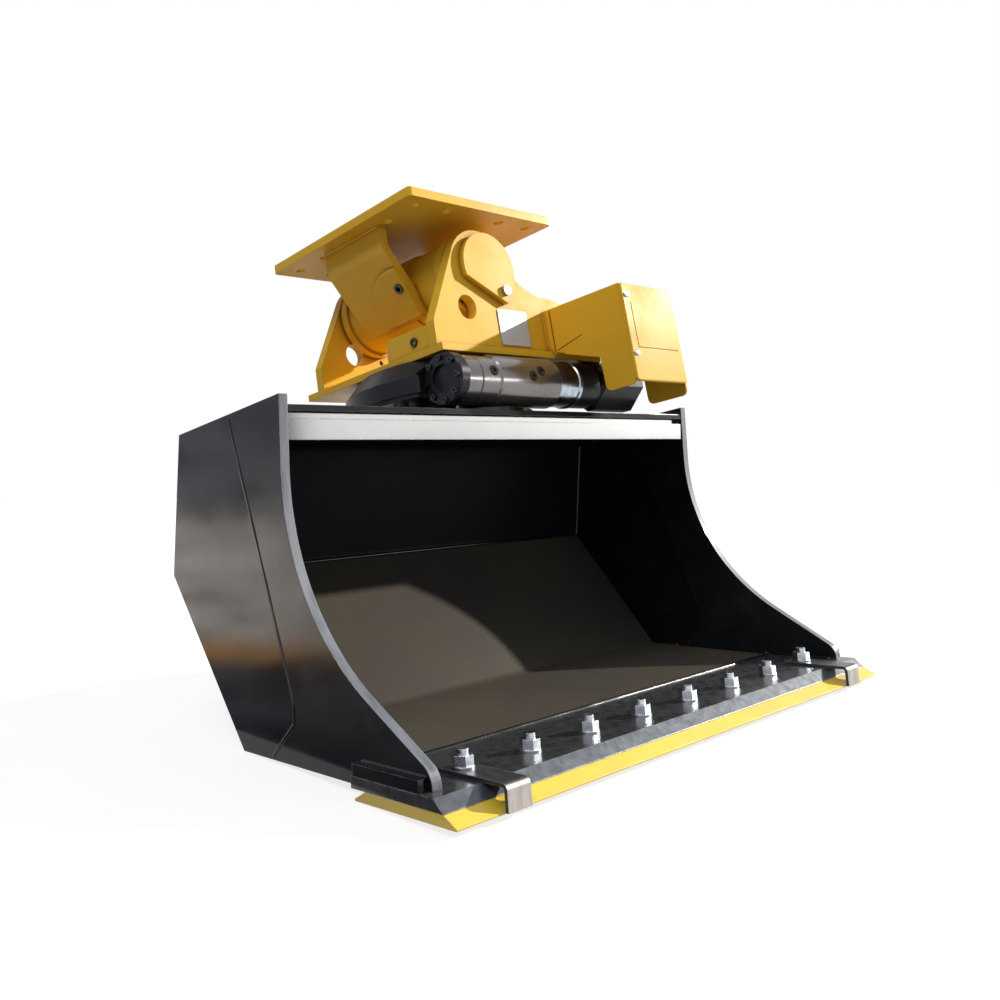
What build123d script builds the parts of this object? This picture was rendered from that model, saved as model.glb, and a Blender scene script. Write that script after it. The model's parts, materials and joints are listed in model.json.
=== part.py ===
"""Tilt rotating bucket: a wide grading bucket with a slewing and tilting head.

Millimetres, X along the bucket's width, Y to its back, Z up, standing on Z = 0.
Bucket profiles are drawn as (distance behind the mouth, height above the ground).
The head is drawn in its own tilted frame: a to the right, b to the back, h along the
slew axis, measured from the middle of the lower plate's underside.
"""

import os
from math import cos, radians, sin, tan

from build123d import *

# Bucket shell
WIDTH = 1270.0
TOP_SLOPE = 9.5
SIDE_TOP = 631.0
SIDE_PROUD = 17.7
SIDE_DEPTH = 352.0
BACK_DEPTH = 378.0
BACK_HEIGHT = 292.0
HEEL_DEPTH = 125.0
SIDE_BOTTOM_RISE = 0.044
REAR_SIDE_T = 12.0
CHEEK_T = 19.0
SHELL_T = 12.0
SHELL_BEND = 30.0
SHELL_INSET = 9.0
SEAM_TOP = 168.0
SEAM_BREAK = (-30.0, 108.0)
SEAM_FOOT = 74.0
SEAM_HEEL = 40.0
CHEEK_KNEE = (-8.0, 260.0)
CHEEK_TOE = (-362.0, 66.0)
CHEEK_ARC = 420.0
TOE_ARC = 34.0

# Top front beam
BEAM_BAR_T = 13.0
BEAM_WEB_T = 12.0
BEAM_LOW = 550.0
BEAM_BAR_HIGH = 588.0

# Lip, bolt-on edge and its fixings
LIP_RAKE = 3.0
EDGE_REAR = -213.0
EDGE_REACH = 216.0
EDGE_T = 17.0
EDGE_NOSE = 3.0
EDGE_BEVEL = 25.0
LIP_T = 18.0
LIP_BACK = 8.0
LIP_REACH = 192.0
LIP_BEVEL = 19.0
LIP_OVERHANG = 20.0
BOLT_COUNT = 8
BOLT_INSET = 82.6
BOLT_LINE = -112.0
BOLT_R = 10.0
BOLT_CLEAR = 0.5
BOLT_HEAD_R = 17.0
BOLT_HEAD_H = 9.0
WASHER_R = 18.5
WASHER_T = 3.0
NUT_ACROSS = 30.0
NUT_H = 16.0
STUD_OUT = 9.0
STRAP_W = 50.0
STRAP_T = 6.0
STRAP_BACK = -84.0
STRAP_DROP = 2.0
BAR_W = 18.0
BAR_H = 18.0
BAR_BACK = 6.0
BAR_FRONT = -142.0

# Where the head stands
FOOT_BACK = 261.6
STACK_H = 135.6
SLEW_B = -45.0
MOUNT_R = 195.0
MOUNT_T = 14.0
HEEL_PAD_X = (-540.0, -180.0, 180.0, 540.0)
HEEL_PAD_W = 50.0
HEEL_PAD_FRONT = 92.0
HEEL_PAD_REAR = 172.0
GUSSET_X = 95.0
GUSSET_T = 14.0
GUSSET_FOOT = 440.0
GUSSET_REACH = 404.0

# Slew drive
PLATE_HOLE_R = 50.0
WHEEL_R = 141.5
WHEEL_ROOT = 132.0
WHEEL_TEETH = 48
WHEEL_LOW = -74.0
WHEEL_HIGH = -46.0
HUB_R = 90.0
HUB_NECK_R = 80.0
HUB_TOP = -16.0
HUB_FLANGE_R = 124.0
HUB_FLANGE_T = 16.0
RING_BOLT_COUNT = 12
RING_BOLT_PCD = 212.0
RING_BOLT_R = 8.0
SOCKET_R = 6.5
SOCKET_DEEP = 4.0
SWIVEL_R = 42.0
SWIVEL_TOP = 60.0
CASE_TOP_R = 202.0
CASE_SKIRT_R = 236.0
CASE_SHOULDER = -42.0
CASE_LOW = -78.0
CASE_ROOF = -12.0
CASE_WALL = 12.0
CASE_FRONT = -200.0
CASE_BORE_R = 146.0
COVER_T = 10.0
COVER_BORE_R = 100.0
PLUGS = ((-71.0, 10.5), (50.0, 1.0), (80.0, 14.0))
PLUG_R = 11.0
PLUG_SINK = 3.0
PLUG_PROUD = 1.5
SEAL_T = 4.0
PLATE_BOLT_COUNT = 8
PLATE_BOLT_PCD = 270.0
WORM_B = -215.0
WORM_H = -60.0
WORM_CASE_R = 54.0
WORM_CASE_BIG_R = 58.0
WORM_CASE_LEFT = -150.0
WORM_CASE_STEP = -50.0
WORM_CASE_RIGHT = 146.0
WORM_CASE_GROOVE = -107.0
WORM_BORE_R = 38.0
WORM_R = 27.4
WORM_ROOT = 20.0
WORM_COLLAR_R = 23.0
WORM_PITCH = 18.0
WORM_TURNS = 8
WORM_JOURNAL_R = 19.0
WORM_END_R = 14.0
WORM_END = 270.0
BEARING_A = 100.0
BEARING_W = 18.0
CAP_R = 57.0
CAP_T = 25.0
CAP_EYE_R = 32.0
CAP_BOLT_COUNT = 8
CAP_BOLT_PCD = 92.0
CAP_BOLT_R = 6.5
CAP_BOLT_H = 6.0
SPIGOT = 9.0
ADAPTER_R = 53.0
ADAPTER_FLANGE_R = 56.0
ADAPTER_ROOM = 2.0
ADAPTER_END = 225.0
MOTOR_FLANGE_R = 54.0
MOTOR_FLANGE_END = 290.0
MOTOR_NECK_R = 49.0
MOTOR_STEP = 304.0
MOTOR_HALF = 50.0
MOTOR_CORNER = 16.0
MOTOR_END = 480.0
MOTOR_BEVEL = 22.0
MOTOR_SHOULDER = 8.0
MOTOR_PORTS = (318.0, 354.0)
MOTOR_PORT_R = 6.0
MOTOR_PORT_OUT = 8.0
RUN_GAP = 0.3
RUN_FIT = 0.05

# Lower frame
PLATE_T = 16.0
PLATE_HALF = 176.0
PLATE_FRONT = -230.0
PLATE_BACK = 252.0
WING_REACH = 365.0
WING_BACK = -120.0
EAR_T = 25.0
FRONT_EAR_B = -190.0
REAR_EAR_B = 186.0
EAR_R = 97.0
EAR_SHOULDER = 71.0
TILT_H = 200.0
EAR_WING_H = 153.0
EAR_WING_A = 225.0
EAR_WING_END = (385.0, 122.0)
EAR_SCOOP = (210.0, 304.0)
EAR_SCOOP_R = 151.0
EAR_HOLE_R = 28.0
EAR_HOLE = (-65.0, 108.0)
EAR_SMALL_HOLE = (19.0, 91.0)
EAR_SMALL_HOLE_R = 6.0
FLAG_T = 14.0
FLAG_R = 82.0
FLAG_AT = (13.0, 206.0)
FLAG_BOLT = (54.0, 153.0)
FLAG_LOBE_R = 29.0
FLAG_CHORD = ((-119.0, 204.0), (95.0, 107.0))
FLAG_KEY = 44.0
FLAG_KEY_DEEP = 8.0
BLOCK_LEFT = -166.0
BLOCK_RIGHT = 75.0
BLOCK_FRONT = -188.0
BLOCK_BACK = -8.0
BLOCK_TOP = 70.0
BLOCK_CORNER = 60.0
BLOCK_ROUND = 62.0
BLOCK_EDGE = 2.0
BLOCK_PORTS = ((-1, -137.0), (1, -137.0), (1, -95.0), (1, -53.0))
BLOCK_PORT_H = 42.0
BLOCK_PORT_R = 6.0
BLOCK_PORT_OUT = 4.0
HEAD_ROOM = 2.0
LABEL = (30.0, 27.0, 129.0, 112.0)
LABEL_T = 2.0
GUARD_T = 5.0
GUARD_LEFT = 190.0
GUARD_RIGHT = 385.0
GUARD_FRONT = -440.0
GUARD_TOP = 118.0
GUARD_LOW = -106.0
GUARD_RIGHT_LOW = -131.0
GUARD_LEFT_LOW = -111.0
GUARD_LEFT_REAR = -356.0
GUARD_RIGHT_REAR = -332.0
GUARD_LEAN = 2.0
GUARD_STEP_H = -31.0
GUARD_UNDER = (-245.0, 8.0)
GUARD_CORNER = 14.0
GUARD_FLANGE = 22.0
GUARD_BEND = 4.0
GUARD_FRONT_CORNER = 9.0
GUARD_BEAD = (27.0, 22.0, 104.0)
GUARD_BEAD_FOOT = (102.0, -30.0, 152.0)
GUARD_BEAD_W = 2.5
GUARD_SCREW_INSET = 16.0
GUARD_SCREW_R = 7.0
GUARD_SCREW_H = (91.0, -43.0)

# Tilt actuator and upper bracket
SHAFT_R = 45.0
SHAFT_BORE_R = 20.0
TUBE_R = 91.0
TUBE_BORE = 70.0
TUBE_FRONT = -163.0
TUBE_BACK = 159.0
COLLAR_R = 96.0
COLLAR_BEVEL = 2.0
COLLAR_FRONT = -50.0
COLLAR_BACK = 60.0
GLAND_R = 98.0
GLAND_T = 24.0
GLAND_SPIGOT = 20.0
GLAND_BOLT_COUNT = 10
GLAND_BOLT_PCD = 162.0
PISTON_LONG = 96.0
PAD_T = 12.0
PAD_R = 100.0
PAD_DOWN = 152.0
PAD_BACK = -73.0
PAD_LOW = 180.0
PORT_R = 12.0
PORT_BORE_R = 6.5
PORT_PROUD = 3.0
PORT_DOWN = 101.0
PORT_BACK = -79.0
TOP_H = 329.0
TOP_T = 22.0
TOP_HALF = 231.0
TOP_FRONT = -254.0
TOP_BACK = 261.0
TOP_CORNER = 10.0
TOP_HOLE_R = 11.0
TOP_HOLES = ((180.0, 215.0), (86.0, 215.0), (178.0, 120.0))
V_TOP = 183.0
V_KNEE = 277.0
V_FOOT = (74.0, 124.0)
V_T = 20.0
V_FRONT = -95.0
V_BACK = 109.0

# Shared frames
SLOPE = radians(TOP_SLOPE)
RAKE = radians(LIP_RAKE)
EDGE_SET = EDGE_REACH + BOLT_CLEAR + STRAP_T
TOP_SURFACE = SIDE_TOP - SIDE_PROUD
HEAD_BACK = FOOT_BACK + STACK_H * sin(SLOPE)
HEAD_HEIGHT = TOP_SURFACE - FOOT_BACK * tan(SLOPE) + STACK_H * cos(SLOPE)
REAR_REACH = HEAD_BACK + TOP_BACK * cos(SLOPE) + (TOP_H + TOP_T) * sin(SLOPE)
FRONT_REACH = EDGE_REAR - EDGE_SET * cos(RAKE)
MOUTH_Y = -(REAR_REACH + FRONT_REACH) / 2
X = Vector(1, 0, 0)
HEAD = Plane(
    origin=(0, MOUTH_Y + HEAD_BACK, HEAD_HEIGHT), x_dir=X, z_dir=(0, sin(SLOPE), cos(SLOPE))
)
LIP = Plane(origin=(0, MOUTH_Y + EDGE_REAR, 0), x_dir=X, z_dir=(0, sin(RAKE), cos(RAKE)))
SLEW_AXIS = Axis(HEAD.from_local_coords((0, SLEW_B, 0)), HEAD.z_dir)
TILT_AXIS = Axis(HEAD.from_local_coords((0, 0, TILT_H)), HEAD.y_dir)
WORM_AXIS = Axis(HEAD.from_local_coords((0, WORM_B, WORM_H)), X)
SIDES = ((-1, "left"), (1, "right"))


def bucket_side(x):
    """Plane of the bucket's profile at x, with Y and Z as its directions."""
    return Plane(origin=(x, MOUTH_Y, 0), x_dir=(0, 1, 0), z_dir=X)


def lip_side(x):
    """Plane of the lip's profile at x, with the lip's length and its normal."""
    return Plane(origin=LIP.from_local_coords((x, 0, 0)), x_dir=LIP.y_dir, z_dir=X)


def lip_level(h):
    """Plane parallel to the lip at height h over the edge's underside."""
    return LIP.offset(h)


def level(h, a=0.0, b=0.0):
    """Plane square to the slew axis at height h, its origin at a and b."""
    return Plane(origin=HEAD.from_local_coords((a, b, h)), x_dir=X, z_dir=HEAD.z_dir)


def facing_front(b):
    """Plane square to the tilt axis at b, seen from the front, drawn as (a, h)."""
    return Plane(origin=HEAD.from_local_coords((0, b, 0)), x_dir=X, z_dir=-HEAD.y_dir)


def facing_right(a):
    """Plane square to the bucket's width at a, drawn as (b, h)."""
    return Plane(origin=HEAD.from_local_coords((a, 0, 0)), x_dir=HEAD.y_dir, z_dir=X)


def outline(plane, points):
    """Closed polygon on a plane."""
    with BuildSketch(plane) as sketch:
        with BuildLine():
            Polyline(*points, close=True)
        make_face()
    return sketch.sketch


def disc(plane, radius, hole=0.0):
    """Round face on a plane, with a hole if one is named."""
    with BuildSketch(plane) as sketch:
        Circle(radius)
        if hole:
            Circle(hole, mode=Mode.SUBTRACT)
    return sketch.sketch


def slew_profile(points):
    """Turning profile about the slew axis, drawn as (radius, h)."""
    return outline(facing_right(0), [(SLEW_B + r, h) for r, h in points])


def tilt_profile(points):
    """Turning profile about the tilt axis, drawn as (b, radius)."""
    return outline(facing_right(0), [(b, TILT_H + r) for b, r in points])


def worm_profile(points):
    """Turning profile about the worm's axis, drawn as (a, radius)."""
    return outline(facing_front(WORM_B), [(a, WORM_H + r) for a, r in points])


def ring_band(start, end, inner, outer):
    """Corners of a rectangular turning profile along an axis."""
    return [(start, inner), (end, inner), (end, outer), (start, outer)]


def slew_band(low, high, inner, outer):
    """Corners of a rectangular turning profile about the slew axis."""
    return [(inner, low), (outer, low), (outer, high), (inner, high)]


def save(piece, name):
    """Label a finished piece and write its STEP file."""
    piece.part.label = name
    export_step(piece.part, f"parts/{name}.step")


def side_top(y):
    """Height of the side plate's top edge."""
    return SIDE_TOP - y * tan(SLOPE)


def top_skin(y):
    """Height of the shell's top surface."""
    return TOP_SURFACE - y * tan(SLOPE)


def top_lining(y):
    """Height of the underside of the shell's top."""
    return top_skin(y) - SHELL_T / cos(SLOPE)


def side_bottom(y):
    """Height of the side plate's lower edge."""
    return (HEEL_DEPTH - y) * SIDE_BOTTOM_RISE


def lip_point(b, h):
    """Bucket profile point of a place given along and over the lip."""
    return EDGE_REAR + b * cos(RAKE) + h * sin(RAKE), -b * sin(RAKE) + h * cos(RAKE)


def bolt_columns():
    """Bolt places along the width, the end ones inset from the cheeks."""
    end = WIDTH / 2 - CHEEK_T - BOLT_INSET
    pitch = 2 * end / (BOLT_COUNT - 1)
    return [i * pitch - end for i in range(BOLT_COUNT)]


def bolt_lift(index):
    """Height added under a nut by the strap of the first and last bolts."""
    return STRAP_T + RUN_GAP if index in (0, BOLT_COUNT - 1) else 0.0


def cheek_face(x):
    """Outline of the thick front part of a bucket side."""
    lip_top = EDGE_T + LIP_T
    toe = lip_point((CHEEK_TOE[0] - EDGE_REAR - lip_top * sin(RAKE)) / cos(RAKE), lip_top)
    lip_rear = lip_point(LIP_BACK + RUN_GAP, lip_top)
    foot = (lip_rear[0], side_bottom(lip_rear[0]))
    with BuildSketch(bucket_side(x)) as sketch:
        with BuildLine():
            FilletPolyline(
                (0, SIDE_TOP), CHEEK_KNEE, CHEEK_TOE, (CHEEK_TOE[0], toe[1]),
                radius=(CHEEK_ARC, TOE_ARC),
            )
            Polyline(
                (CHEEK_TOE[0], toe[1]), lip_rear, foot, (SEAM_HEEL, side_bottom(SEAM_HEEL)),
                (SEAM_BREAK[0], SEAM_FOOT), SEAM_BREAK, (SEAM_TOP, side_top(SEAM_TOP)),
                (0, SIDE_TOP),
            )
        make_face()
    return sketch.sketch


def cheek(side):
    """Thick front part of one bucket side."""
    with BuildPart() as plate:
        extrude(cheek_face(side * WIDTH / 2), amount=-side * CHEEK_T)
    return plate


def side_plate(side):
    """Thin rear part of one bucket side, butted to the cheek along the seam."""
    points = [
        (SEAM_TOP, side_top(SEAM_TOP)), (SIDE_DEPTH, side_top(SIDE_DEPTH)),
        (BACK_DEPTH, BACK_HEIGHT), (HEEL_DEPTH, 0), (SEAM_HEEL, side_bottom(SEAM_HEEL)),
        (SEAM_BREAK[0], SEAM_FOOT), SEAM_BREAK,
    ]
    with BuildPart() as plate:
        extrude(outline(bucket_side(side * WIDTH / 2), points), amount=-side * REAR_SIDE_T)
    return plate


def shell_path():
    """Outer corners of the bent shell, from the mouth's top round to the lip."""
    front = 2.0
    back = SIDE_DEPTH - SHELL_INSET
    lip_rear = lip_point(LIP_BACK + RUN_GAP, EDGE_T + LIP_T)
    return [
        (front, top_skin(front)), (back, top_skin(back)),
        (BACK_DEPTH - SHELL_INSET, BACK_HEIGHT), (HEEL_DEPTH, SHELL_INSET),
        (lip_rear[0], lip_rear[1] - SHELL_T),
    ]


def bucket_shell():
    """Top, back, heel slope and floor, bent from one plate."""
    half = WIDTH / 2 - REAR_SIDE_T
    with BuildPart() as shell:
        with BuildSketch(bucket_side(-half)):
            with BuildLine():
                FilletPolyline(*shell_path(), radius=SHELL_BEND)
                offset(amount=SHELL_T, side=Side.RIGHT)
            make_face()
        extrude(amount=2 * half)
        for side, _ in SIDES:
            inner = side * (WIDTH / 2 - CHEEK_T)
            extrude(cheek_face(inner), amount=side * CHEEK_T, mode=Mode.SUBTRACT)
    return shell


def top_beam():
    """Stiffening beam under the mouth's top, a web with a bar on its front."""
    half = WIDTH / 2 - CHEEK_T
    front = 1.0
    web = front + BEAM_BAR_T
    rear = web + BEAM_WEB_T
    points = [
        (front, BEAM_LOW), (rear, BEAM_LOW), (rear, top_lining(rear)),
        (web, top_lining(web)), (web, BEAM_BAR_HIGH), (front, BEAM_BAR_HIGH),
    ]
    with BuildPart() as beam:
        extrude(outline(bucket_side(-half), points), amount=2 * half)
    return beam


def lip_plate():
    """Thick lip with a bevelled front, overhanging both sides."""
    half = WIDTH / 2 + LIP_OVERHANG
    top = EDGE_T + LIP_T
    points = [
        (LIP_BACK, EDGE_T), (LIP_BACK, top), (-LIP_REACH + LIP_BEVEL, top),
        (-LIP_REACH, EDGE_T),
    ]
    with BuildPart() as lip:
        extrude(outline(lip_side(-half), points), amount=2 * half)
        with Locations(lip_level(top)):
            with Locations([(x, BOLT_LINE) for x in bolt_columns()]):
                Hole(BOLT_R + BOLT_CLEAR, depth=LIP_T)
    return lip


def bolt_on_edge():
    """Reversible double-bevel edge bolted under the lip."""
    half = WIDTH / 2 + LIP_OVERHANG
    points = [
        (0, 0), (0, EDGE_NOSE), (-EDGE_BEVEL, EDGE_T), (-EDGE_REACH + EDGE_BEVEL, EDGE_T),
        (-EDGE_REACH, EDGE_NOSE), (-EDGE_REACH, 0),
    ]
    with BuildPart() as edge:
        extrude(outline(lip_side(-half), points), amount=2 * half)
        with Locations(lip_level(0)):
            with Locations([Location((x, BOLT_LINE, 0), (180, 0, 0)) for x in bolt_columns()]):
                CounterSinkHole(
                    BOLT_R + BOLT_CLEAR, BOLT_HEAD_R + BOLT_CLEAR, depth=EDGE_T,
                    counter_sink_angle=90,
                )
    return edge


def edge_bolts():
    """Countersunk bolts from below, standing up through edge and lip."""
    tip = EDGE_T + LIP_T + WASHER_T + NUT_H + STUD_OUT
    with BuildPart() as bolts:
        for index, x in enumerate(bolt_columns()):
            length = tip + bolt_lift(index)
            with Locations(lip_level(0)):
                with Locations((x, BOLT_LINE)):
                    Cylinder(BOLT_R, length, align=(Align.CENTER, Align.CENTER, Align.MIN))
                    Cone(
                        BOLT_HEAD_R, BOLT_R, BOLT_HEAD_R - BOLT_R,
                        align=(Align.CENTER, Align.CENTER, Align.MIN),
                    )
    return bolts


def edge_washers():
    """Round washers under the nuts."""
    with BuildPart() as washers:
        for index, x in enumerate(bolt_columns()):
            with BuildSketch(lip_level(EDGE_T + LIP_T + bolt_lift(index))):
                with Locations((x, BOLT_LINE)):
                    Circle(WASHER_R)
                    Circle(BOLT_R + BOLT_CLEAR, mode=Mode.SUBTRACT)
            extrude(amount=WASHER_T)
    return washers


def edge_nuts():
    """Hexagon nuts on the bolts."""
    with BuildPart() as nuts:
        for index, x in enumerate(bolt_columns()):
            with BuildSketch(lip_level(EDGE_T + LIP_T + WASHER_T + bolt_lift(index))):
                with Locations((x, BOLT_LINE)):
                    RegularPolygon(NUT_ACROSS / 2, 6, major_radius=False)
                    Circle(BOLT_R + RUN_FIT, mode=Mode.SUBTRACT)
            extrude(amount=NUT_H)
    return nuts


def edge_strap(side):
    """Bent strap held by an end bolt, folded down over lip and edge."""
    top = EDGE_T + LIP_T + RUN_GAP
    centre = side * bolt_columns()[-1]
    nose = -EDGE_REACH - BOLT_CLEAR
    path = [
        (STRAP_BACK, top), (-LIP_REACH + LIP_BEVEL, top),
        (-LIP_REACH - 3 * BOLT_CLEAR, EDGE_T + BOLT_CLEAR),
        (nose, EDGE_NOSE + BOLT_CLEAR), (nose, EDGE_NOSE - STRAP_DROP),
    ]
    with BuildPart() as strap:
        with BuildSketch(lip_side(centre - STRAP_W / 2)):
            with BuildLine():
                Polyline(*path)
                offset(amount=STRAP_T, side=Side.RIGHT)
            make_face()
        extrude(amount=STRAP_W)
        with Locations(lip_level(top + STRAP_T)):
            with Locations((centre, BOLT_LINE)):
                Hole(BOLT_R + BOLT_CLEAR, depth=2 * STRAP_T)
    return strap


def lip_side_bars():
    """Square bars on the lip's overhangs, against the cheeks."""
    top = EDGE_T + LIP_T
    points = [(BAR_BACK, top), (BAR_BACK, top + BAR_H), (BAR_FRONT, top + BAR_H), (BAR_FRONT, top)]
    with BuildPart() as bars:
        for side, _ in SIDES:
            extrude(outline(lip_side(side * WIDTH / 2), points), amount=side * BAR_W)
    return bars


def mount_plate():
    """Round plate on the bucket's top that takes the slew drive."""
    with BuildPart() as plate:
        extrude(disc(level(-STACK_H, 0, SLEW_B), MOUNT_R), amount=MOUNT_T)
        with Locations(level(-STACK_H + MOUNT_T, 0, SLEW_B)):
            with PolarLocations(RING_BOLT_PCD / 2, RING_BOLT_COUNT):
                Hole(RING_BOLT_R, depth=MOUNT_T)
    return plate


def rear_gussets():
    """Plates that carry the mounting plate where it stands out over the back."""
    back = SIDE_DEPTH - SHELL_INSET
    lean = (BACK_DEPTH - SIDE_DEPTH) / (top_skin(back) - BACK_HEIGHT)
    low = back + (top_skin(back) - GUSSET_FOOT) * lean + RUN_GAP
    high_z = top_skin(back) - SHELL_BEND
    high = back + SHELL_BEND * lean + RUN_GAP
    points = [
        (low, GUSSET_FOOT), (high, high_z), (high, top_skin(high)),
        (GUSSET_REACH, top_skin(GUSSET_REACH)), (GUSSET_REACH, top_skin(GUSSET_REACH) - GUSSET_T),
        (low + GUSSET_T, GUSSET_FOOT),
    ]
    with BuildPart() as gussets:
        for x in (-GUSSET_X, GUSSET_X):
            extrude(outline(bucket_side(x - GUSSET_T / 2), points), amount=GUSSET_T)
    return gussets


def heel_pads():
    """Wear pads under the heel, which also carry the weight behind it."""
    rise = (BACK_HEIGHT - SHELL_INSET) / (BACK_DEPTH - SHELL_INSET - HEEL_DEPTH)
    floor = shell_path()[-1]
    fall = (floor[1] - SHELL_INSET) / (HEEL_DEPTH - floor[0])
    front_high = SHELL_INSET + (HEEL_DEPTH - HEEL_PAD_FRONT) * fall - RUN_GAP
    rear_high = SHELL_INSET + (HEEL_PAD_REAR - HEEL_DEPTH) * rise - RUN_GAP
    points = [
        (HEEL_PAD_FRONT, 0), (HEEL_PAD_REAR - 8, 0), (HEEL_PAD_REAR, 8), (HEEL_PAD_REAR, rear_high),
        (HEEL_DEPTH + RUN_GAP, SHELL_INSET - RUN_GAP), (HEEL_PAD_FRONT, front_high),
    ]
    with BuildPart() as pads:
        for x in HEEL_PAD_X:
            extrude(outline(bucket_side(x - HEEL_PAD_W / 2), points), amount=HEEL_PAD_W)
    return pads


def slew_hub():
    """Steel hub with the flange that is bolted to the mounting plate."""
    floor = -STACK_H + MOUNT_T
    bore = SWIVEL_R + RUN_GAP
    points = [
        (bore, floor), (HUB_FLANGE_R, floor), (HUB_FLANGE_R, floor + HUB_FLANGE_T),
        (HUB_R, floor + HUB_FLANGE_T), (HUB_R, WHEEL_LOW), (HUB_NECK_R, WHEEL_LOW),
        (HUB_NECK_R, HUB_TOP), (bore, HUB_TOP),
    ]
    with BuildPart() as hub:
        revolve(slew_profile(points), axis=SLEW_AXIS)
        with Locations(level(floor + HUB_FLANGE_T, 0, SLEW_B)):
            with PolarLocations(RING_BOLT_PCD / 2, RING_BOLT_COUNT):
                Hole(RING_BOLT_R + BOLT_CLEAR, depth=HUB_FLANGE_T)
    return hub


def worm_wheel():
    """Toothed bronze ring on the hub's neck."""
    gap = WHEEL_R - WHEEL_ROOT
    with BuildPart() as wheel:
        extrude(
            disc(level(WHEEL_LOW, 0, SLEW_B), WHEEL_R, HUB_NECK_R + RUN_GAP),
            amount=WHEEL_HIGH - WHEEL_LOW,
        )
        with BuildSketch(level(WHEEL_LOW, 0, SLEW_B)):
            with PolarLocations(WHEEL_R, WHEEL_TEETH):
                Trapezoid(1.3 * gap, 2 * gap, 80, rotation=90)
        extrude(amount=WHEEL_HIGH - WHEEL_LOW, mode=Mode.SUBTRACT)
    return wheel


def ring_bolts():
    """Bolts that hold the hub's flange down on the mounting plate."""
    seat = -STACK_H + MOUNT_T + HUB_FLANGE_T
    with BuildPart() as bolts:
        with Locations(level(seat, 0, SLEW_B)):
            with PolarLocations(RING_BOLT_PCD / 2, RING_BOLT_COUNT):
                bolt(RING_BOLT_R, HUB_FLANGE_T + MOUNT_T - 1)
        with BuildSketch(level(seat + RING_BOLT_R, 0, SLEW_B)):
            with PolarLocations(RING_BOLT_PCD / 2, RING_BOLT_COUNT):
                RegularPolygon(SOCKET_R, 6)
        extrude(amount=-SOCKET_DEEP, mode=Mode.SUBTRACT)
    return bolts


def bolt(radius, length):
    """Cap bolt seated on the current location, its shank going down."""
    Cylinder(1.5 * radius, radius, align=(Align.CENTER, Align.CENTER, Align.MIN))
    Cylinder(
        radius - BOLT_CLEAR / 2, length, align=(Align.CENTER, Align.CENTER, Align.MAX)
    )


def swivel_core():
    """Fixed core of the rotary union, standing on the mounting plate."""
    floor = -STACK_H + MOUNT_T
    with BuildPart() as core:
        extrude(disc(level(floor, 0, SLEW_B), SWIVEL_R), amount=SWIVEL_TOP - floor)
    return core


def in_front_of(b):
    """Wide face at b; extruded, it covers everything in front of b."""
    with BuildSketch(facing_front(b)) as sketch:
        Rectangle(4 * CASE_SKIRT_R, 4 * CASE_SKIRT_R)
    return sketch.sketch


def case_pocket():
    """Lightening pocket between the wheel's chamber and the skirt."""
    inner = CASE_BORE_R + CASE_WALL
    outer = CASE_SKIRT_R - CASE_WALL
    under = CASE_ROOF - CASE_WALL / 2
    points = [
        (inner, CASE_LOW), (outer, CASE_LOW), (outer, CASE_SHOULDER - CASE_WALL / 2),
        (CASE_TOP_R - CASE_WALL, under), (inner, under),
    ]
    wall = ring_band(2 * WORM_CASE_LEFT, 2 * WORM_CASE_RIGHT, 0, WORM_CASE_BIG_R + CASE_WALL)
    with BuildPart() as pocket:
        revolve(slew_profile(points), axis=SLEW_AXIS)
        extrude(in_front_of(CASE_FRONT + CASE_WALL), amount=CASE_SKIRT_R, mode=Mode.SUBTRACT)
        revolve(worm_profile(wall), axis=WORM_AXIS, mode=Mode.SUBTRACT)
    return pocket


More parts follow.
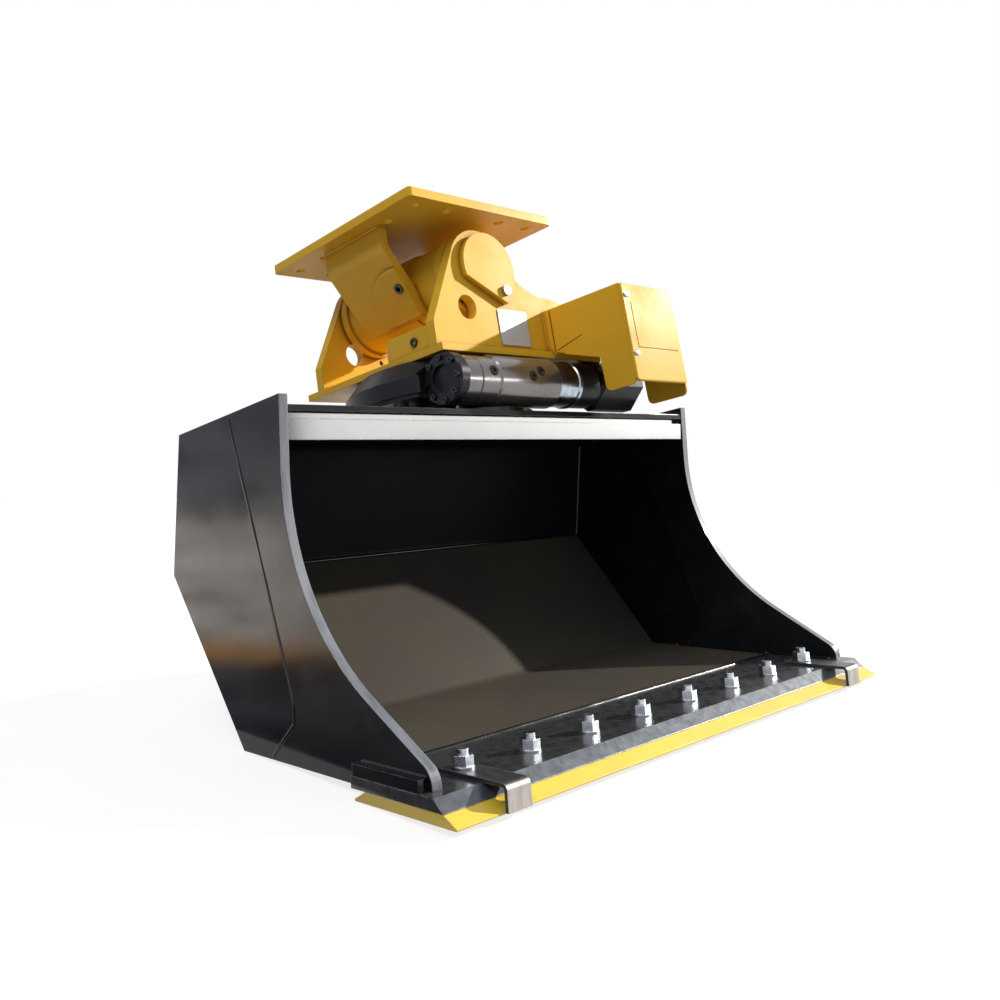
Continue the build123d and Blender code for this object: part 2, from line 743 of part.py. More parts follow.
def gear_case():
    """Casting of the slew drive: skirted case and stepped worm tube in one."""
    outer = [
        (PLATE_HOLE_R, 0), (CASE_TOP_R - 6, 0), (CASE_TOP_R, -6),
        (CASE_SKIRT_R, CASE_SHOULDER), (CASE_SKIRT_R, CASE_LOW), (PLATE_HOLE_R, CASE_LOW),
    ]
    tube = [
        (WORM_CASE_LEFT, 0), (WORM_CASE_RIGHT, 0), (WORM_CASE_RIGHT, WORM_CASE_BIG_R),
        (WORM_CASE_STEP, WORM_CASE_BIG_R), (WORM_CASE_STEP - 4, WORM_CASE_R),
        (WORM_CASE_GROOVE + 2, WORM_CASE_R), (WORM_CASE_GROOVE + 2, WORM_CASE_R - 2),
        (WORM_CASE_GROOVE - 2, WORM_CASE_R - 2), (WORM_CASE_GROOVE - 2, WORM_CASE_R),
        (WORM_CASE_LEFT, WORM_CASE_R),
    ]
    bore = ring_band(WORM_CASE_LEFT, WORM_CASE_RIGHT, 0, WORM_BORE_R)
    cap_room = ring_band(WORM_CASE_LEFT - 2 * CAP_T, WORM_CASE_LEFT, 0, CAP_R + 2)
    motor_reach = max(ADAPTER_FLANGE_R, MOTOR_FLANGE_R) + ADAPTER_ROOM
    motor_room = ring_band(WORM_CASE_RIGHT, MOTOR_END, 0, motor_reach)
    chamber = slew_band(CASE_LOW, CASE_ROOF, PLATE_HOLE_R - 1, CASE_BORE_R)
    pocket = case_pocket()
    with BuildPart() as case:
        revolve(slew_profile(outer), axis=SLEW_AXIS)
        extrude(in_front_of(CASE_FRONT), amount=CASE_SKIRT_R, mode=Mode.SUBTRACT)
        add(pocket.part, mode=Mode.SUBTRACT)
        revolve(worm_profile(cap_room), axis=WORM_AXIS, mode=Mode.SUBTRACT)
        revolve(worm_profile(motor_room), axis=WORM_AXIS, mode=Mode.SUBTRACT)
        revolve(worm_profile(tube), axis=WORM_AXIS)
        for seat in plug_seats():
            extrude(disc(seat, PLUG_R + 1), amount=2 * PLUG_R, mode=Mode.SUBTRACT)
        revolve(worm_profile(bore), axis=WORM_AXIS, mode=Mode.SUBTRACT)
        revolve(slew_profile(chamber), axis=SLEW_AXIS, mode=Mode.SUBTRACT)
        with Locations(level(0, 0, SLEW_B)):
            with PolarLocations(PLATE_BOLT_PCD / 2, PLATE_BOLT_COUNT, 22.5):
                Hole(RING_BOLT_R, depth=-CASE_ROOF)
    return case


def case_cover():
    """Bottom cover of the case, relieved round the worm tube."""
    outer = slew_band(CASE_LOW - COVER_T, CASE_LOW, COVER_BORE_R, CASE_SKIRT_R - 3)
    room = ring_band(2 * WORM_CASE_LEFT, 2 * WORM_CASE_RIGHT, 0, WORM_CASE_BIG_R + RUN_GAP)
    with BuildPart() as cover:
        revolve(slew_profile(outer), axis=SLEW_AXIS)
        extrude(in_front_of(CASE_FRONT), amount=CASE_SKIRT_R, mode=Mode.SUBTRACT)
        revolve(worm_profile(room), axis=WORM_AXIS, mode=Mode.SUBTRACT)
    return cover


def cover_bolts():
    """Bolts under the cover, into the wall of the wheel's chamber."""
    with BuildPart() as bolts:
        with Locations(level(CASE_LOW - COVER_T, 0, SLEW_B)):
            with PolarLocations(CASE_BORE_R + CASE_WALL / 2, 8, -22.5, 225):
                Cylinder(7, 5, align=(Align.CENTER, Align.CENTER, Align.MAX))
    return bolts


def slew_bush():
    """Bronze bush in the cover, running on the hub."""
    band = slew_band(CASE_LOW - COVER_T, CASE_LOW, HUB_R + RUN_FIT, COVER_BORE_R - RUN_GAP)
    with BuildPart() as bush:
        revolve(slew_profile(band), axis=SLEW_AXIS)
    return bush


def slew_thrust_rings():
    """Bronze rings over the hub and under the wheel."""
    upper = slew_band(HUB_TOP + RUN_GAP, CASE_ROOF, SWIVEL_R + 12, HUB_NECK_R - 2)
    lower = slew_band(CASE_LOW, WHEEL_LOW - RUN_GAP, COVER_BORE_R, COVER_BORE_R + 28)
    with BuildPart() as rings:
        revolve(slew_profile(upper), axis=SLEW_AXIS)
        revolve(slew_profile(lower), axis=SLEW_AXIS)
    return rings


def dust_seal():
    """Lip seal round the hub, under the cover."""
    low = CASE_LOW - COVER_T
    band = slew_band(low - SEAL_T, low, HUB_R + RUN_GAP, COVER_BORE_R + 8)
    with BuildPart() as seal:
        revolve(slew_profile(band), axis=SLEW_AXIS)
    return seal


def plug_seats():
    """Planes of the spot faces for the oil plugs, on the worm tube's front."""
    seats = []
    for a, turn in PLUGS:
        radius = WORM_CASE_BIG_R if a > WORM_CASE_STEP else WORM_CASE_R
        out = HEAD.y_dir * -cos(radians(turn)) + HEAD.z_dir * sin(radians(turn))
        axis = Plane(origin=HEAD.from_local_coords((a, WORM_B, WORM_H)), x_dir=X, z_dir=out)
        seats.append(axis.offset(radius - PLUG_SINK))
    return seats


def case_plugs():
    """Oil plugs on the worm tube, each with a hexagon socket."""
    with BuildPart() as plugs:
        for seat in plug_seats():
            extrude(disc(seat, PLUG_R), amount=PLUG_SINK + PLUG_PROUD)
            with BuildSketch(seat.offset(PLUG_SINK + PLUG_PROUD)):
                RegularPolygon(PLUG_R / 2, 6)
            extrude(amount=-PLUG_SINK, mode=Mode.SUBTRACT)
    return plugs


def worm_end_cap():
    """End cap of the worm tube, with a recess in its face."""
    outer = WORM_CASE_LEFT - CAP_T
    points = [
        (outer, CAP_EYE_R), (outer, CAP_R - 3), (outer + 3, CAP_R), (WORM_CASE_LEFT, CAP_R),
        (WORM_CASE_LEFT, WORM_BORE_R - RUN_GAP), (WORM_CASE_LEFT + SPIGOT, WORM_BORE_R - RUN_GAP),
        (WORM_CASE_LEFT + SPIGOT, 0), (outer + 8, 0), (outer + 8, CAP_EYE_R),
    ]
    with BuildPart() as cap:
        revolve(worm_profile(points), axis=WORM_AXIS)
    return cap


def end_cap_bolts():
    """Bolts on the face of the worm's end cap."""
    face = Plane(
        origin=HEAD.from_local_coords((WORM_CASE_LEFT - CAP_T, WORM_B, WORM_H)),
        x_dir=HEAD.y_dir, z_dir=-X,
    )
    with BuildPart() as bolts:
        with Locations(face):
            with PolarLocations(CAP_BOLT_PCD / 2, CAP_BOLT_COUNT):
                Cylinder(CAP_BOLT_R, CAP_BOLT_H, align=(Align.CENTER, Align.CENTER, Align.MIN))
        with BuildSketch(face.offset(CAP_BOLT_H)):
            with PolarLocations(CAP_BOLT_PCD / 2, CAP_BOLT_COUNT):
                RegularPolygon(CAP_BOLT_R / 2, 6)
        extrude(amount=-CAP_BOLT_H / 2, mode=Mode.SUBTRACT)
    return bolts


def worm_bearings():
    """Bearings of the worm shaft, seated in the worm tube."""
    with BuildPart() as bearings:
        for centre in (-BEARING_A, BEARING_A):
            start = centre - BEARING_W / 2
            band = ring_band(
                start, start + BEARING_W, WORM_JOURNAL_R + RUN_FIT, WORM_BORE_R - RUN_GAP
            )
            revolve(worm_profile(band), axis=WORM_AXIS)
    return bearings


def worm_shaft():
    """Worm with its journals and the end that the motor drives."""
    half = WORM_PITCH * WORM_TURNS / 2
    stop = BEARING_A - BEARING_W / 2 - RUN_GAP
    tail = -BEARING_A - BEARING_W / 2 - 4
    points = [(tail, 0), (tail, WORM_JOURNAL_R), (-stop, WORM_JOURNAL_R)]
    points += [(-stop, WORM_COLLAR_R), (-half, WORM_COLLAR_R)]
    flank = WORM_PITCH / 6
    for turn in range(WORM_TURNS):
        start = -half + turn * WORM_PITCH
        points += [
            (start, WORM_ROOT), (start + flank, WORM_ROOT), (start + 2 * flank, WORM_R),
            (start + 4 * flank, WORM_R), (start + 5 * flank, WORM_ROOT),
        ]
    journal = BEARING_A + BEARING_W / 2 + 4
    points += [
        (half, WORM_ROOT), (half, WORM_COLLAR_R), (stop, WORM_COLLAR_R), (stop, WORM_JOURNAL_R),
        (journal, WORM_JOURNAL_R), (journal, WORM_END_R), (WORM_END, WORM_END_R), (WORM_END, 0),
    ]
    with BuildPart() as shaft:
        revolve(worm_profile(points), axis=WORM_AXIS)
    return shaft


def motor_adapter():
    """Flange between worm tube and motor."""
    fit = WORM_BORE_R - RUN_GAP
    hole = WORM_END_R + 4
    points = [
        (WORM_CASE_RIGHT - SPIGOT, hole), (WORM_CASE_RIGHT - SPIGOT, fit), (WORM_CASE_RIGHT, fit),
        (WORM_CASE_RIGHT, ADAPTER_R), (ADAPTER_END - 10, ADAPTER_R),
        (ADAPTER_END - 8, ADAPTER_FLANGE_R), (ADAPTER_END, ADAPTER_FLANGE_R), (ADAPTER_END, hole),
    ]
    with BuildPart() as adapter:
        revolve(worm_profile(points), axis=WORM_AXIS)
    return adapter


def slew_motor():
    """Hydraulic motor with a bevelled square body on its corner, and two ports."""
    bore = WORM_END_R + RUN_FIT
    points = [
        (ADAPTER_END, bore), (ADAPTER_END, MOTOR_FLANGE_R), (MOTOR_FLANGE_END, MOTOR_FLANGE_R),
        (MOTOR_FLANGE_END, MOTOR_NECK_R), (MOTOR_STEP, MOTOR_NECK_R), (MOTOR_STEP, 0),
        (WORM_END + 1, 0), (WORM_END + 1, bore),
    ]
    out = (HEAD.z_dir - HEAD.y_dir).normalized()
    with BuildPart() as motor:
        with BuildSketch(facing_right(MOTOR_STEP)) as body:
            with Locations((WORM_B, WORM_H)):
                Rectangle(2 * MOTOR_HALF, 2 * MOTOR_HALF, rotation=45)
            chamfer(body.vertices(), length=MOTOR_CORNER)
        extrude(amount=MOTOR_END - MOTOR_STEP)
        chamfer(motor.faces().sort_by(Axis.X)[-1].edges(), length=MOTOR_BEVEL)
        chamfer(motor.faces().sort_by(Axis.X)[0].edges(), length=MOTOR_SHOULDER)
        revolve(worm_profile(points), axis=WORM_AXIS)
        for a in MOTOR_PORTS:
            centre = HEAD.from_local_coords((a, WORM_B, WORM_H))
            with BuildSketch(Plane(origin=centre, x_dir=X, z_dir=out).offset(MOTOR_HALF)):
                Circle(MOTOR_PORT_R + 4)
                Circle(MOTOR_PORT_R, mode=Mode.SUBTRACT)
            extrude(amount=MOTOR_PORT_OUT)
    return motor


def lower_plate():
    """Base plate of the tilt frame, with a wing under the guard."""
    with BuildPart() as plate:
        with BuildSketch(level(0)):
            with Locations((0, (PLATE_FRONT + PLATE_BACK) / 2)):
                Rectangle(2 * PLATE_HALF, PLATE_BACK - PLATE_FRONT)
            with Locations((WING_REACH / 2, (PLATE_FRONT + WING_BACK) / 2)):
                Rectangle(WING_REACH, WING_BACK - PLATE_FRONT)
            with Locations((0, SLEW_B)):
                Circle(PLATE_HOLE_R, mode=Mode.SUBTRACT)
        extrude(amount=PLATE_T)
        with Locations(level(PLATE_T, 0, SLEW_B)):
            with PolarLocations(PLATE_BOLT_PCD / 2, PLATE_BOLT_COUNT, 22.5):
                Hole(RING_BOLT_R + BOLT_CLEAR, depth=PLATE_T)
    return plate


def plate_bolts():
    """Bolts that hold the slew drive under the base plate."""
    with BuildPart() as bolts:
        with Locations(level(PLATE_T, 0, SLEW_B)):
            with PolarLocations(PLATE_BOLT_PCD / 2, PLATE_BOLT_COUNT, 22.5):
                bolt(RING_BOLT_R, PLATE_T - CASE_ROOF - 1)
        with BuildSketch(level(PLATE_T + RING_BOLT_R, 0, SLEW_B)):
            with PolarLocations(PLATE_BOLT_PCD / 2, PLATE_BOLT_COUNT, 22.5):
                RegularPolygon(SOCKET_R, 6)
        extrude(amount=-SOCKET_DEEP, mode=Mode.SUBTRACT)
    return bolts


def ear_face(b, wing):
    """Outline of an ear; the front one runs out into a wing on the right."""
    right = 0.0 if wing else PLATE_HALF
    with BuildSketch(facing_front(b)) as sketch:
        with BuildLine():
            CenterArc((0, TILT_H), EAR_R, 0, 360)
            Polyline(
                (-PLATE_HALF, EAR_SHOULDER), (-PLATE_HALF, PLATE_T), (right, PLATE_T),
                (right, EAR_SHOULDER),
            )
        make_hull()
        if wing:
            with BuildLine():
                Polyline(
                    (0, PLATE_T), (EAR_WING_END[0], PLATE_T), EAR_WING_END,
                    (EAR_WING_A, EAR_WING_H), EAR_SCOOP, (0, TILT_H), close=True,
                )
            make_face()
            with Locations(EAR_SCOOP):
                Circle(EAR_SCOOP_R, mode=Mode.SUBTRACT)
        else:
            with Locations(EAR_SMALL_HOLE):
                Circle(EAR_SMALL_HOLE_R, mode=Mode.SUBTRACT)
        with Locations((0, TILT_H)):
            Circle(SHAFT_R + RUN_GAP, mode=Mode.SUBTRACT)
        with Locations(EAR_HOLE):
            Circle(EAR_HOLE_R, mode=Mode.SUBTRACT)
        with Locations(FLAG_BOLT):
            Circle(RING_BOLT_R, mode=Mode.SUBTRACT)
    return sketch.sketch


def front_ear():
    """Front ear of the tilt frame."""
    with BuildPart() as ear:
        extrude(ear_face(FRONT_EAR_B, True), amount=EAR_T)
    return ear


def rear_ear():
    """Rear ear of the tilt frame."""
    with BuildPart() as ear:
        extrude(ear_face(REAR_EAR_B + EAR_T, False), amount=EAR_T)
    return ear


def flag_plate(seat, inward):
    """Teardrop plate that holds a shaft end, keyed to it by a square."""
    with BuildPart() as flag:
        with BuildSketch(facing_front(seat)):
            with BuildLine():
                CenterArc(FLAG_AT, FLAG_R, 0, 360)
                CenterArc(FLAG_BOLT, FLAG_LOBE_R, 0, 360)
            make_hull()
            low = PLATE_T
            left, right = FLAG_CHORD
            with BuildLine():
                Polyline(left, right, (right[0], low), (left[0], low), close=True)
            make_face(mode=Mode.SUBTRACT)
            with Locations(FLAG_BOLT):
                Circle(RING_BOLT_R + BOLT_CLEAR, mode=Mode.SUBTRACT)
        extrude(amount=-inward * FLAG_T)
        with BuildSketch(facing_front(seat)):
            with Locations((0, TILT_H)):
                Rectangle(FLAG_KEY + BOLT_CLEAR, FLAG_KEY + BOLT_CLEAR)
        extrude(amount=-inward * (FLAG_KEY_DEEP + BOLT_CLEAR), mode=Mode.SUBTRACT)
    return flag


def flag_bolts():
    """Bolt through the lobe of each teardrop plate."""
    a, h = FLAG_BOLT
    with BuildPart() as bolts:
        for seat, turn in ((FRONT_EAR_B - EAR_T - FLAG_T, 0), (REAR_EAR_B + EAR_T + FLAG_T, 180)):
            face = facing_front(seat)
            place = Plane(
                origin=face.from_local_coords((a, h, 0)), x_dir=X,
                z_dir=face.z_dir if turn == 0 else -face.z_dir,
            )
            with Locations(place):
                bolt(RING_BOLT_R, FLAG_T + EAR_T - 1)
    return bolts


def tilt_shaft():
    """Fixed shaft through both ears, with a square key at each end."""
    front = FRONT_EAR_B - EAR_T
    back = REAR_EAR_B + EAR_T
    with BuildPart() as shaft:
        revolve(tilt_profile(ring_band(front, back, 0, SHAFT_R)), axis=TILT_AXIS)
        with BuildSketch(facing_front(back + FLAG_KEY_DEEP)):
            with Locations((0, TILT_H)):
                Rectangle(FLAG_KEY, FLAG_KEY)
        extrude(amount=back - front + 2 * FLAG_KEY_DEEP)
        bore = ring_band(front - FLAG_T, back + FLAG_T, 0, SHAFT_BORE_R)
        revolve(tilt_profile(bore), axis=TILT_AXIS, mode=Mode.SUBTRACT)
    return shaft


def label_plate():
    """Blank plate on the front ear."""
    left, low, right, high = LABEL
    with BuildPart() as label:
        with BuildSketch(facing_front(FRONT_EAR_B - EAR_T)):
            with Locations(((left + right) / 2, (low + high) / 2)):
                RectangleRounded(right - left, high - low, 5)
        extrude(amount=LABEL_T)
    return label


def manifold():
    """Rotary union body, bored for the fixed core, with room for the bolts under it."""
    middle = ((BLOCK_LEFT + BLOCK_RIGHT) / 2, (BLOCK_FRONT + BLOCK_BACK) / 2)
    with BuildPart() as block:
        with BuildSketch(level(PLATE_T)) as foot:
            with Locations(middle):
                Rectangle(BLOCK_RIGHT - BLOCK_LEFT, BLOCK_BACK - BLOCK_FRONT)
            corner = foot.vertices().sort_by_distance((BLOCK_LEFT, BLOCK_BACK, 0))[0]
            fillet(corner, radius=BLOCK_CORNER)
            with Locations((0, SLEW_B)):
                Circle(BLOCK_ROUND)
        extrude(amount=BLOCK_TOP - PLATE_T)
        with BuildSketch(level(PLATE_T, 0, SLEW_B)):
            Circle(SWIVEL_R + RUN_FIT)
        extrude(amount=SWIVEL_TOP + RUN_GAP - PLATE_T, mode=Mode.SUBTRACT)
        with BuildSketch(level(PLATE_T, 0, SLEW_B)):
            with PolarLocations(PLATE_BOLT_PCD / 2, PLATE_BOLT_COUNT, 22.5):
                Circle(1.5 * RING_BOLT_R + HEAD_ROOM)
        extrude(amount=RING_BOLT_R + HEAD_ROOM, mode=Mode.SUBTRACT)
        top = block.faces().sort_by(Axis(HEAD.origin, HEAD.z_dir))[-1]
        chamfer(top.edges(), length=BLOCK_EDGE)
    return block


def manifold_ports():
    """Hose ports on the sides of the manifold, small inserts."""
    with BuildPart() as ports:
        for side, b in BLOCK_PORTS:
            with BuildSketch(facing_right(BLOCK_LEFT if side < 0 else BLOCK_RIGHT)):
                with Locations((b, BLOCK_PORT_H)):
                    Circle(BLOCK_PORT_R + 4)
                    Circle(BLOCK_PORT_R, mode=Mode.SUBTRACT)
            extrude(amount=side * BLOCK_PORT_OUT)
    return ports


def guard_side(a, low, rear):
    """Outline of a side wall of the guard, cut back over the motor."""
    front = GUARD_FRONT + GUARD_T
    ear = FRONT_EAR_B - EAR_T
    with BuildSketch(facing_right(a)) as sketch:
        with BuildLine():
            Polyline(
                (ear, PLATE_T), (ear, GUARD_TOP), (front, GUARD_TOP), (front, low), (rear, low),
                (rear + GUARD_LEAN, GUARD_STEP_H), GUARD_UNDER, (PLATE_FRONT, GUARD_UNDER[1]),
                (PLATE_FRONT, PLATE_T), close=True,
            )
        make_face()
        fillet(sketch.vertices().sort_by(Axis.Y)[:2], radius=GUARD_CORNER)
    return sketch.sketch


def guard_box():
    """Sheet guard round the motor: both sides, top and front flanges."""
    front = GUARD_FRONT + GUARD_T
    flange_low = GUARD_LOW + GUARD_CORNER
    ear = FRONT_EAR_B - EAR_T
    with BuildPart() as box:
        extrude(guard_side(GUARD_LEFT, GUARD_LEFT_LOW, GUARD_LEFT_REAR), amount=GUARD_T)
        extrude(guard_side(GUARD_RIGHT, GUARD_RIGHT_LOW, GUARD_RIGHT_REAR), amount=-GUARD_T)
        with BuildSketch(level(GUARD_TOP)):
            with Locations(((GUARD_LEFT + GUARD_RIGHT) / 2, (front + ear) / 2)):
                Rectangle(GUARD_RIGHT - GUARD_LEFT, ear - front)
        extrude(amount=-GUARD_T)
        for edge, inward in ((GUARD_LEFT, 1), (GUARD_RIGHT, -1)):
            with BuildSketch(facing_front(front + GUARD_T)):
                with Locations((edge + inward * GUARD_FLANGE / 2, (GUARD_TOP + flange_low) / 2)):
                    Rectangle(GUARD_FLANGE, GUARD_TOP - flange_low)
            extrude(amount=GUARD_T)
    return box


def guard_front():
    """Front sheet of the guard, with an L-shaped bead."""
    middle = (GUARD_LEFT + GUARD_RIGHT) / 2
    with BuildPart() as sheet:
        with BuildSketch(facing_front(GUARD_FRONT + GUARD_T)):
            with Locations((middle, (GUARD_TOP + GUARD_LOW) / 2)):
                RectangleRounded(
                    GUARD_RIGHT - GUARD_LEFT, GUARD_TOP - GUARD_LOW, GUARD_FRONT_CORNER
                )
        extrude(amount=GUARD_T)
        with BuildSketch(facing_front(GUARD_FRONT)):
            with Locations((GUARD_LEFT + GUARD_BEAD[0], GUARD_BEAD[1])):
                Rectangle(GUARD_BEAD_W, GUARD_BEAD[2])
            with Locations((GUARD_LEFT + GUARD_BEAD_FOOT[0], GUARD_BEAD_FOOT[1])):
                Rectangle(GUARD_BEAD_FOOT[2], GUARD_BEAD_W)
        extrude(amount=-1, mode=Mode.SUBTRACT)
        bends = sheet.edges().filter_by(Axis(HEAD.origin, HEAD.z_dir))
        outer = [edge for edge in bends if edge.length > 1.5 * GUARD_BEAD[2]]
        fillet(ShapeList(outer).sort_by(Axis(HEAD.origin, HEAD.y_dir))[:2], radius=GUARD_BEND)
    return sheet


def guard_screws():
    """Button screws that hold the front sheet to the left flange."""
    with BuildPart() as screws:
        for h in GUARD_SCREW_H:
            with BuildSketch(facing_front(GUARD_FRONT)):
                with Locations((GUARD_LEFT + GUARD_SCREW_INSET, h)):
                    Circle(GUARD_SCREW_R)
            extrude(amount=4, taper=25)
    return screws


def tilt_thrust_rings():
    """Bronze rings between the ears and the actuator's glands."""
    start = FRONT_EAR_B + RUN_GAP
    end = REAR_EAR_B - RUN_GAP
    width = TUBE_FRONT - GLAND_T - FRONT_EAR_B - 2 * RUN_GAP
    inner = SHAFT_R + RUN_GAP
    outer = SHAFT_R + 25
    with BuildPart() as rings:
        revolve(tilt_profile(ring_band(start, start + width, inner, outer)), axis=TILT_AXIS)
        revolve(tilt_profile(ring_band(end - width, end, inner, outer)), axis=TILT_AXIS)
    return rings


def top_plate():
    """Drilled plate that carries the quick hitch's bracket."""
    with BuildPart() as plate:
        with BuildSketch(level(TOP_H)):
            with Locations((0, (TOP_FRONT + TOP_BACK) / 2)):
                RectangleRounded(2 * TOP_HALF, TOP_BACK - TOP_FRONT, TOP_CORNER)
            for a, b in TOP_HOLES:
                with Locations([(i * a, j * b) for i in (-1, 1) for j in (-1, 1)]):
                    Circle(TOP_HOLE_R, mode=Mode.SUBTRACT)
        extrude(amount=TOP_T)
        rim = plate.faces().sort_by(Axis(HEAD.origin, HEAD.z_dir))[-1].outer_wire().edges()
        fillet(rim, radius=3)
    return plate


def v_plate(side):
    """Bent side plate of the bracket, cut out round the actuator."""
    tube = tilt_profile(ring_band(V_FRONT - 1, V_BACK + 1, 0, TUBE_R + RUN_GAP))
    collar = tilt_profile(
        ring_band(COLLAR_FRONT - RUN_GAP, COLLAR_BACK + RUN_GAP, 0, COLLAR_R + RUN_GAP)
    )
    with BuildPart() as plate:
        with BuildSketch(facing_front(V_BACK)):
            with BuildLine():
                FilletPolyline(
                    (side * V_TOP, TOP_H), (side * V_TOP, V_KNEE), (side * V_FOOT[0], V_FOOT[1]),
                    radius=40,
                )
                offset(amount=V_T, side=Side.LEFT if side < 0 else Side.RIGHT)
            make_face()
        extrude(amount=V_BACK - V_FRONT)
        revolve(tube, axis=TILT_AXIS, mode=Mode.SUBTRACT)
        revolve(collar, axis=TILT_AXIS, mode=Mode.SUBTRACT)
    return plate


def pad_plane(side):
    """Outer face of a bracket side plate, its x down the slope and y to the back."""
    fall = Vector(-side * (V_TOP - V_FOOT[0]), 0, V_FOOT[1] - V_KNEE).normalized()
    down = HEAD.x_dir * fall.X + HEAD.z_dir * fall.Z
    out = HEAD.x_dir * (-side * fall.Z) + HEAD.z_dir * (side * fall.X)
    knee = HEAD.from_local_coords((side * V_TOP, 0, V_KNEE))
    return Plane(origin=knee, x_dir=down, z_dir=out)


def tilt_pad(side):
    """Raised pad for a hydraulic port on the outside of a bracket side plate."""
    plane = pad_plane(side)
    back = plane.to_local_coords(plane.origin + HEAD.y_dir).Y
    high = PAD_DOWN - PAD_R
    rear = PAD_BACK + PAD_R
    with BuildPart() as pad:
        with BuildSketch(plane):
            with Locations((PAD_DOWN, back * PAD_BACK)):
                Circle(PAD_R)
            with Locations(((high + PAD_LOW) / 2, back * (V_FRONT + rear) / 2)):
                Rectangle(PAD_LOW - high, rear - V_FRONT, mode=Mode.INTERSECT)
            with Locations((PORT_DOWN, back * PORT_BACK)):
                Circle(PORT_R + RUN_GAP, mode=Mode.SUBTRACT)
        extrude(amount=PAD_T)
        top = pad.faces().sort_by(Axis(plane.origin, plane.z_dir))[-1]
        chamfer(top.outer_wire().edges(), length=2)
    return pad


def tilt_ports():
    """Hydraulic ports of the actuator, one in each pad."""
    with BuildPart() as ports:
        for side, _ in SIDES:
            plane = pad_plane(side)
            back = plane.to_local_coords(plane.origin + HEAD.y_dir).Y
            with BuildSketch(plane):
                with Locations((PORT_DOWN, back * PORT_BACK)):
                    Circle(PORT_R)
                    Circle(PORT_BORE_R, mode=Mode.SUBTRACT)
            extrude(amount=PAD_T + PORT_PROUD)
    return ports


def actuator_tube():
    """Housing of the tilt actuator, with a thicker collar in the middle."""
    points = [
        (TUBE_FRONT, TUBE_BORE), (TUBE_FRONT, TUBE_R), (COLLAR_FRONT, TUBE_R),
        (COLLAR_FRONT, COLLAR_R - COLLAR_BEVEL), (COLLAR_FRONT + COLLAR_BEVEL, COLLAR_R),
        (COLLAR_BACK - COLLAR_BEVEL, COLLAR_R), (COLLAR_BACK, COLLAR_R - COLLAR_BEVEL),
        (COLLAR_BACK, TUBE_R), (TUBE_BACK, TUBE_R),
        (TUBE_BACK, TUBE_BORE),
    ]
    with BuildPart() as tube:
        revolve(tilt_profile(points), axis=TILT_AXIS)
    return tube


def gland(seat, outward):
    """End gland of the actuator, running on the shaft."""
    inner = SHAFT_R + RUN_FIT
    fit = TUBE_BORE - RUN_GAP
    outer = seat + outward * GLAND_T
    points = [
        (outer, inner), (outer, GLAND_R - 4), (outer - outward * 4, GLAND_R), (seat, GLAND_R),
        (seat, fit), (seat - outward * GLAND_SPIGOT, fit), (seat - outward * GLAND_SPIGOT, inner),
    ]
    with BuildPart() as ring:
        revolve(tilt_profile(points), axis=TILT_AXIS)
        with BuildSketch(facing_front(outer)):
            with Locations((0, TILT_H)):
                with PolarLocations(GLAND_BOLT_PCD / 2, GLAND_BOLT_COUNT, 18):
                    Circle(8)
        extrude(amount=outward * 9, mode=Mode.SUBTRACT)
    return ring


def gland_bolts():
    """Cap screws sunk into both glands."""
    with BuildPart() as bolts:
        for seat, outward in ((TUBE_FRONT, -1), (TUBE_BACK, 1)):
            outer = seat + outward * GLAND_T
            with BuildSketch(facing_front(outer - outward * 9)):
                with Locations((0, TILT_H)):
                    with PolarLocations(GLAND_BOLT_PCD / 2, GLAND_BOLT_COUNT, 18):
                        Circle(6.5)
                        RegularPolygon(3.6, 6, mode=Mode.SUBTRACT)
            extrude(amount=-outward * 7)
    return bolts


def piston():
    """Helical piston inside the actuator, sliding on the shaft."""
    start = (TUBE_FRONT + TUBE_BACK - PISTON_LONG) / 2
    end = start + PISTON_LONG
    inner = SHAFT_R + RUN_FIT
    outer = TUBE_BORE - RUN_FIT
    points = [
        (start, inner), (start, outer), (start + 14, outer), (start + 14, outer - 4),
        (start + 20, outer - 4), (start + 20, outer), (start + 34, outer),
        (start + 34, outer - 8), (end, outer - 8), (end, inner),
    ]
    with BuildPart() as sleeve:
        revolve(tilt_profile(points), axis=TILT_AXIS)
    return sleeve


def bucket_pieces():
    """Every piece of the bucket body, with its name."""
    yield bucket_shell(), "bucket_shell"
    for side, name in SIDES:
        yield side_plate(side), "side_plate_" + name
        yield cheek(side), "cheek_" + name
        yield edge_strap(side), "edge_strap_" + name
    yield top_beam(), "top_beam"
    yield lip_plate(), "lip_plate"
    yield lip_side_bars(), "lip_side_bars"
    yield bolt_on_edge(), "cutting_edge"
    yield edge_bolts(), "edge_bolts"
    yield edge_washers(), "edge_washers"
    yield edge_nuts(), "edge_nuts"
    yield mount_plate(), "mount_plate"
    yield rear_gussets(), "rear_gussets"
    yield heel_pads(), "heel_pads"
    yield slew_hub(), "slew_hub"
    yield worm_wheel(), "worm_wheel"
    yield ring_bolts(), "ring_bolts"
    yield swivel_core(), "swivel_core"


def slew_pieces():
    """Every piece of the slew drive that turns with the head."""
    yield gear_case(), "gear_case"
    yield case_cover(), "case_cover"
    yield cover_bolts(), "cover_bolts"
    yield slew_bush(), "slew_bush"
    yield slew_thrust_rings(), "slew_thrust_rings"
    yield dust_seal(), "dust_seal"
    yield case_plugs(), "case_plugs"
    yield worm_end_cap(), "worm_end_cap"
    yield end_cap_bolts(), "end_cap_bolts"
    yield worm_bearings(), "worm_bearings"
    yield worm_shaft(), "worm_shaft"
    yield motor_adapter(), "motor_adapter"
    yield slew_motor(), "slew_motor"


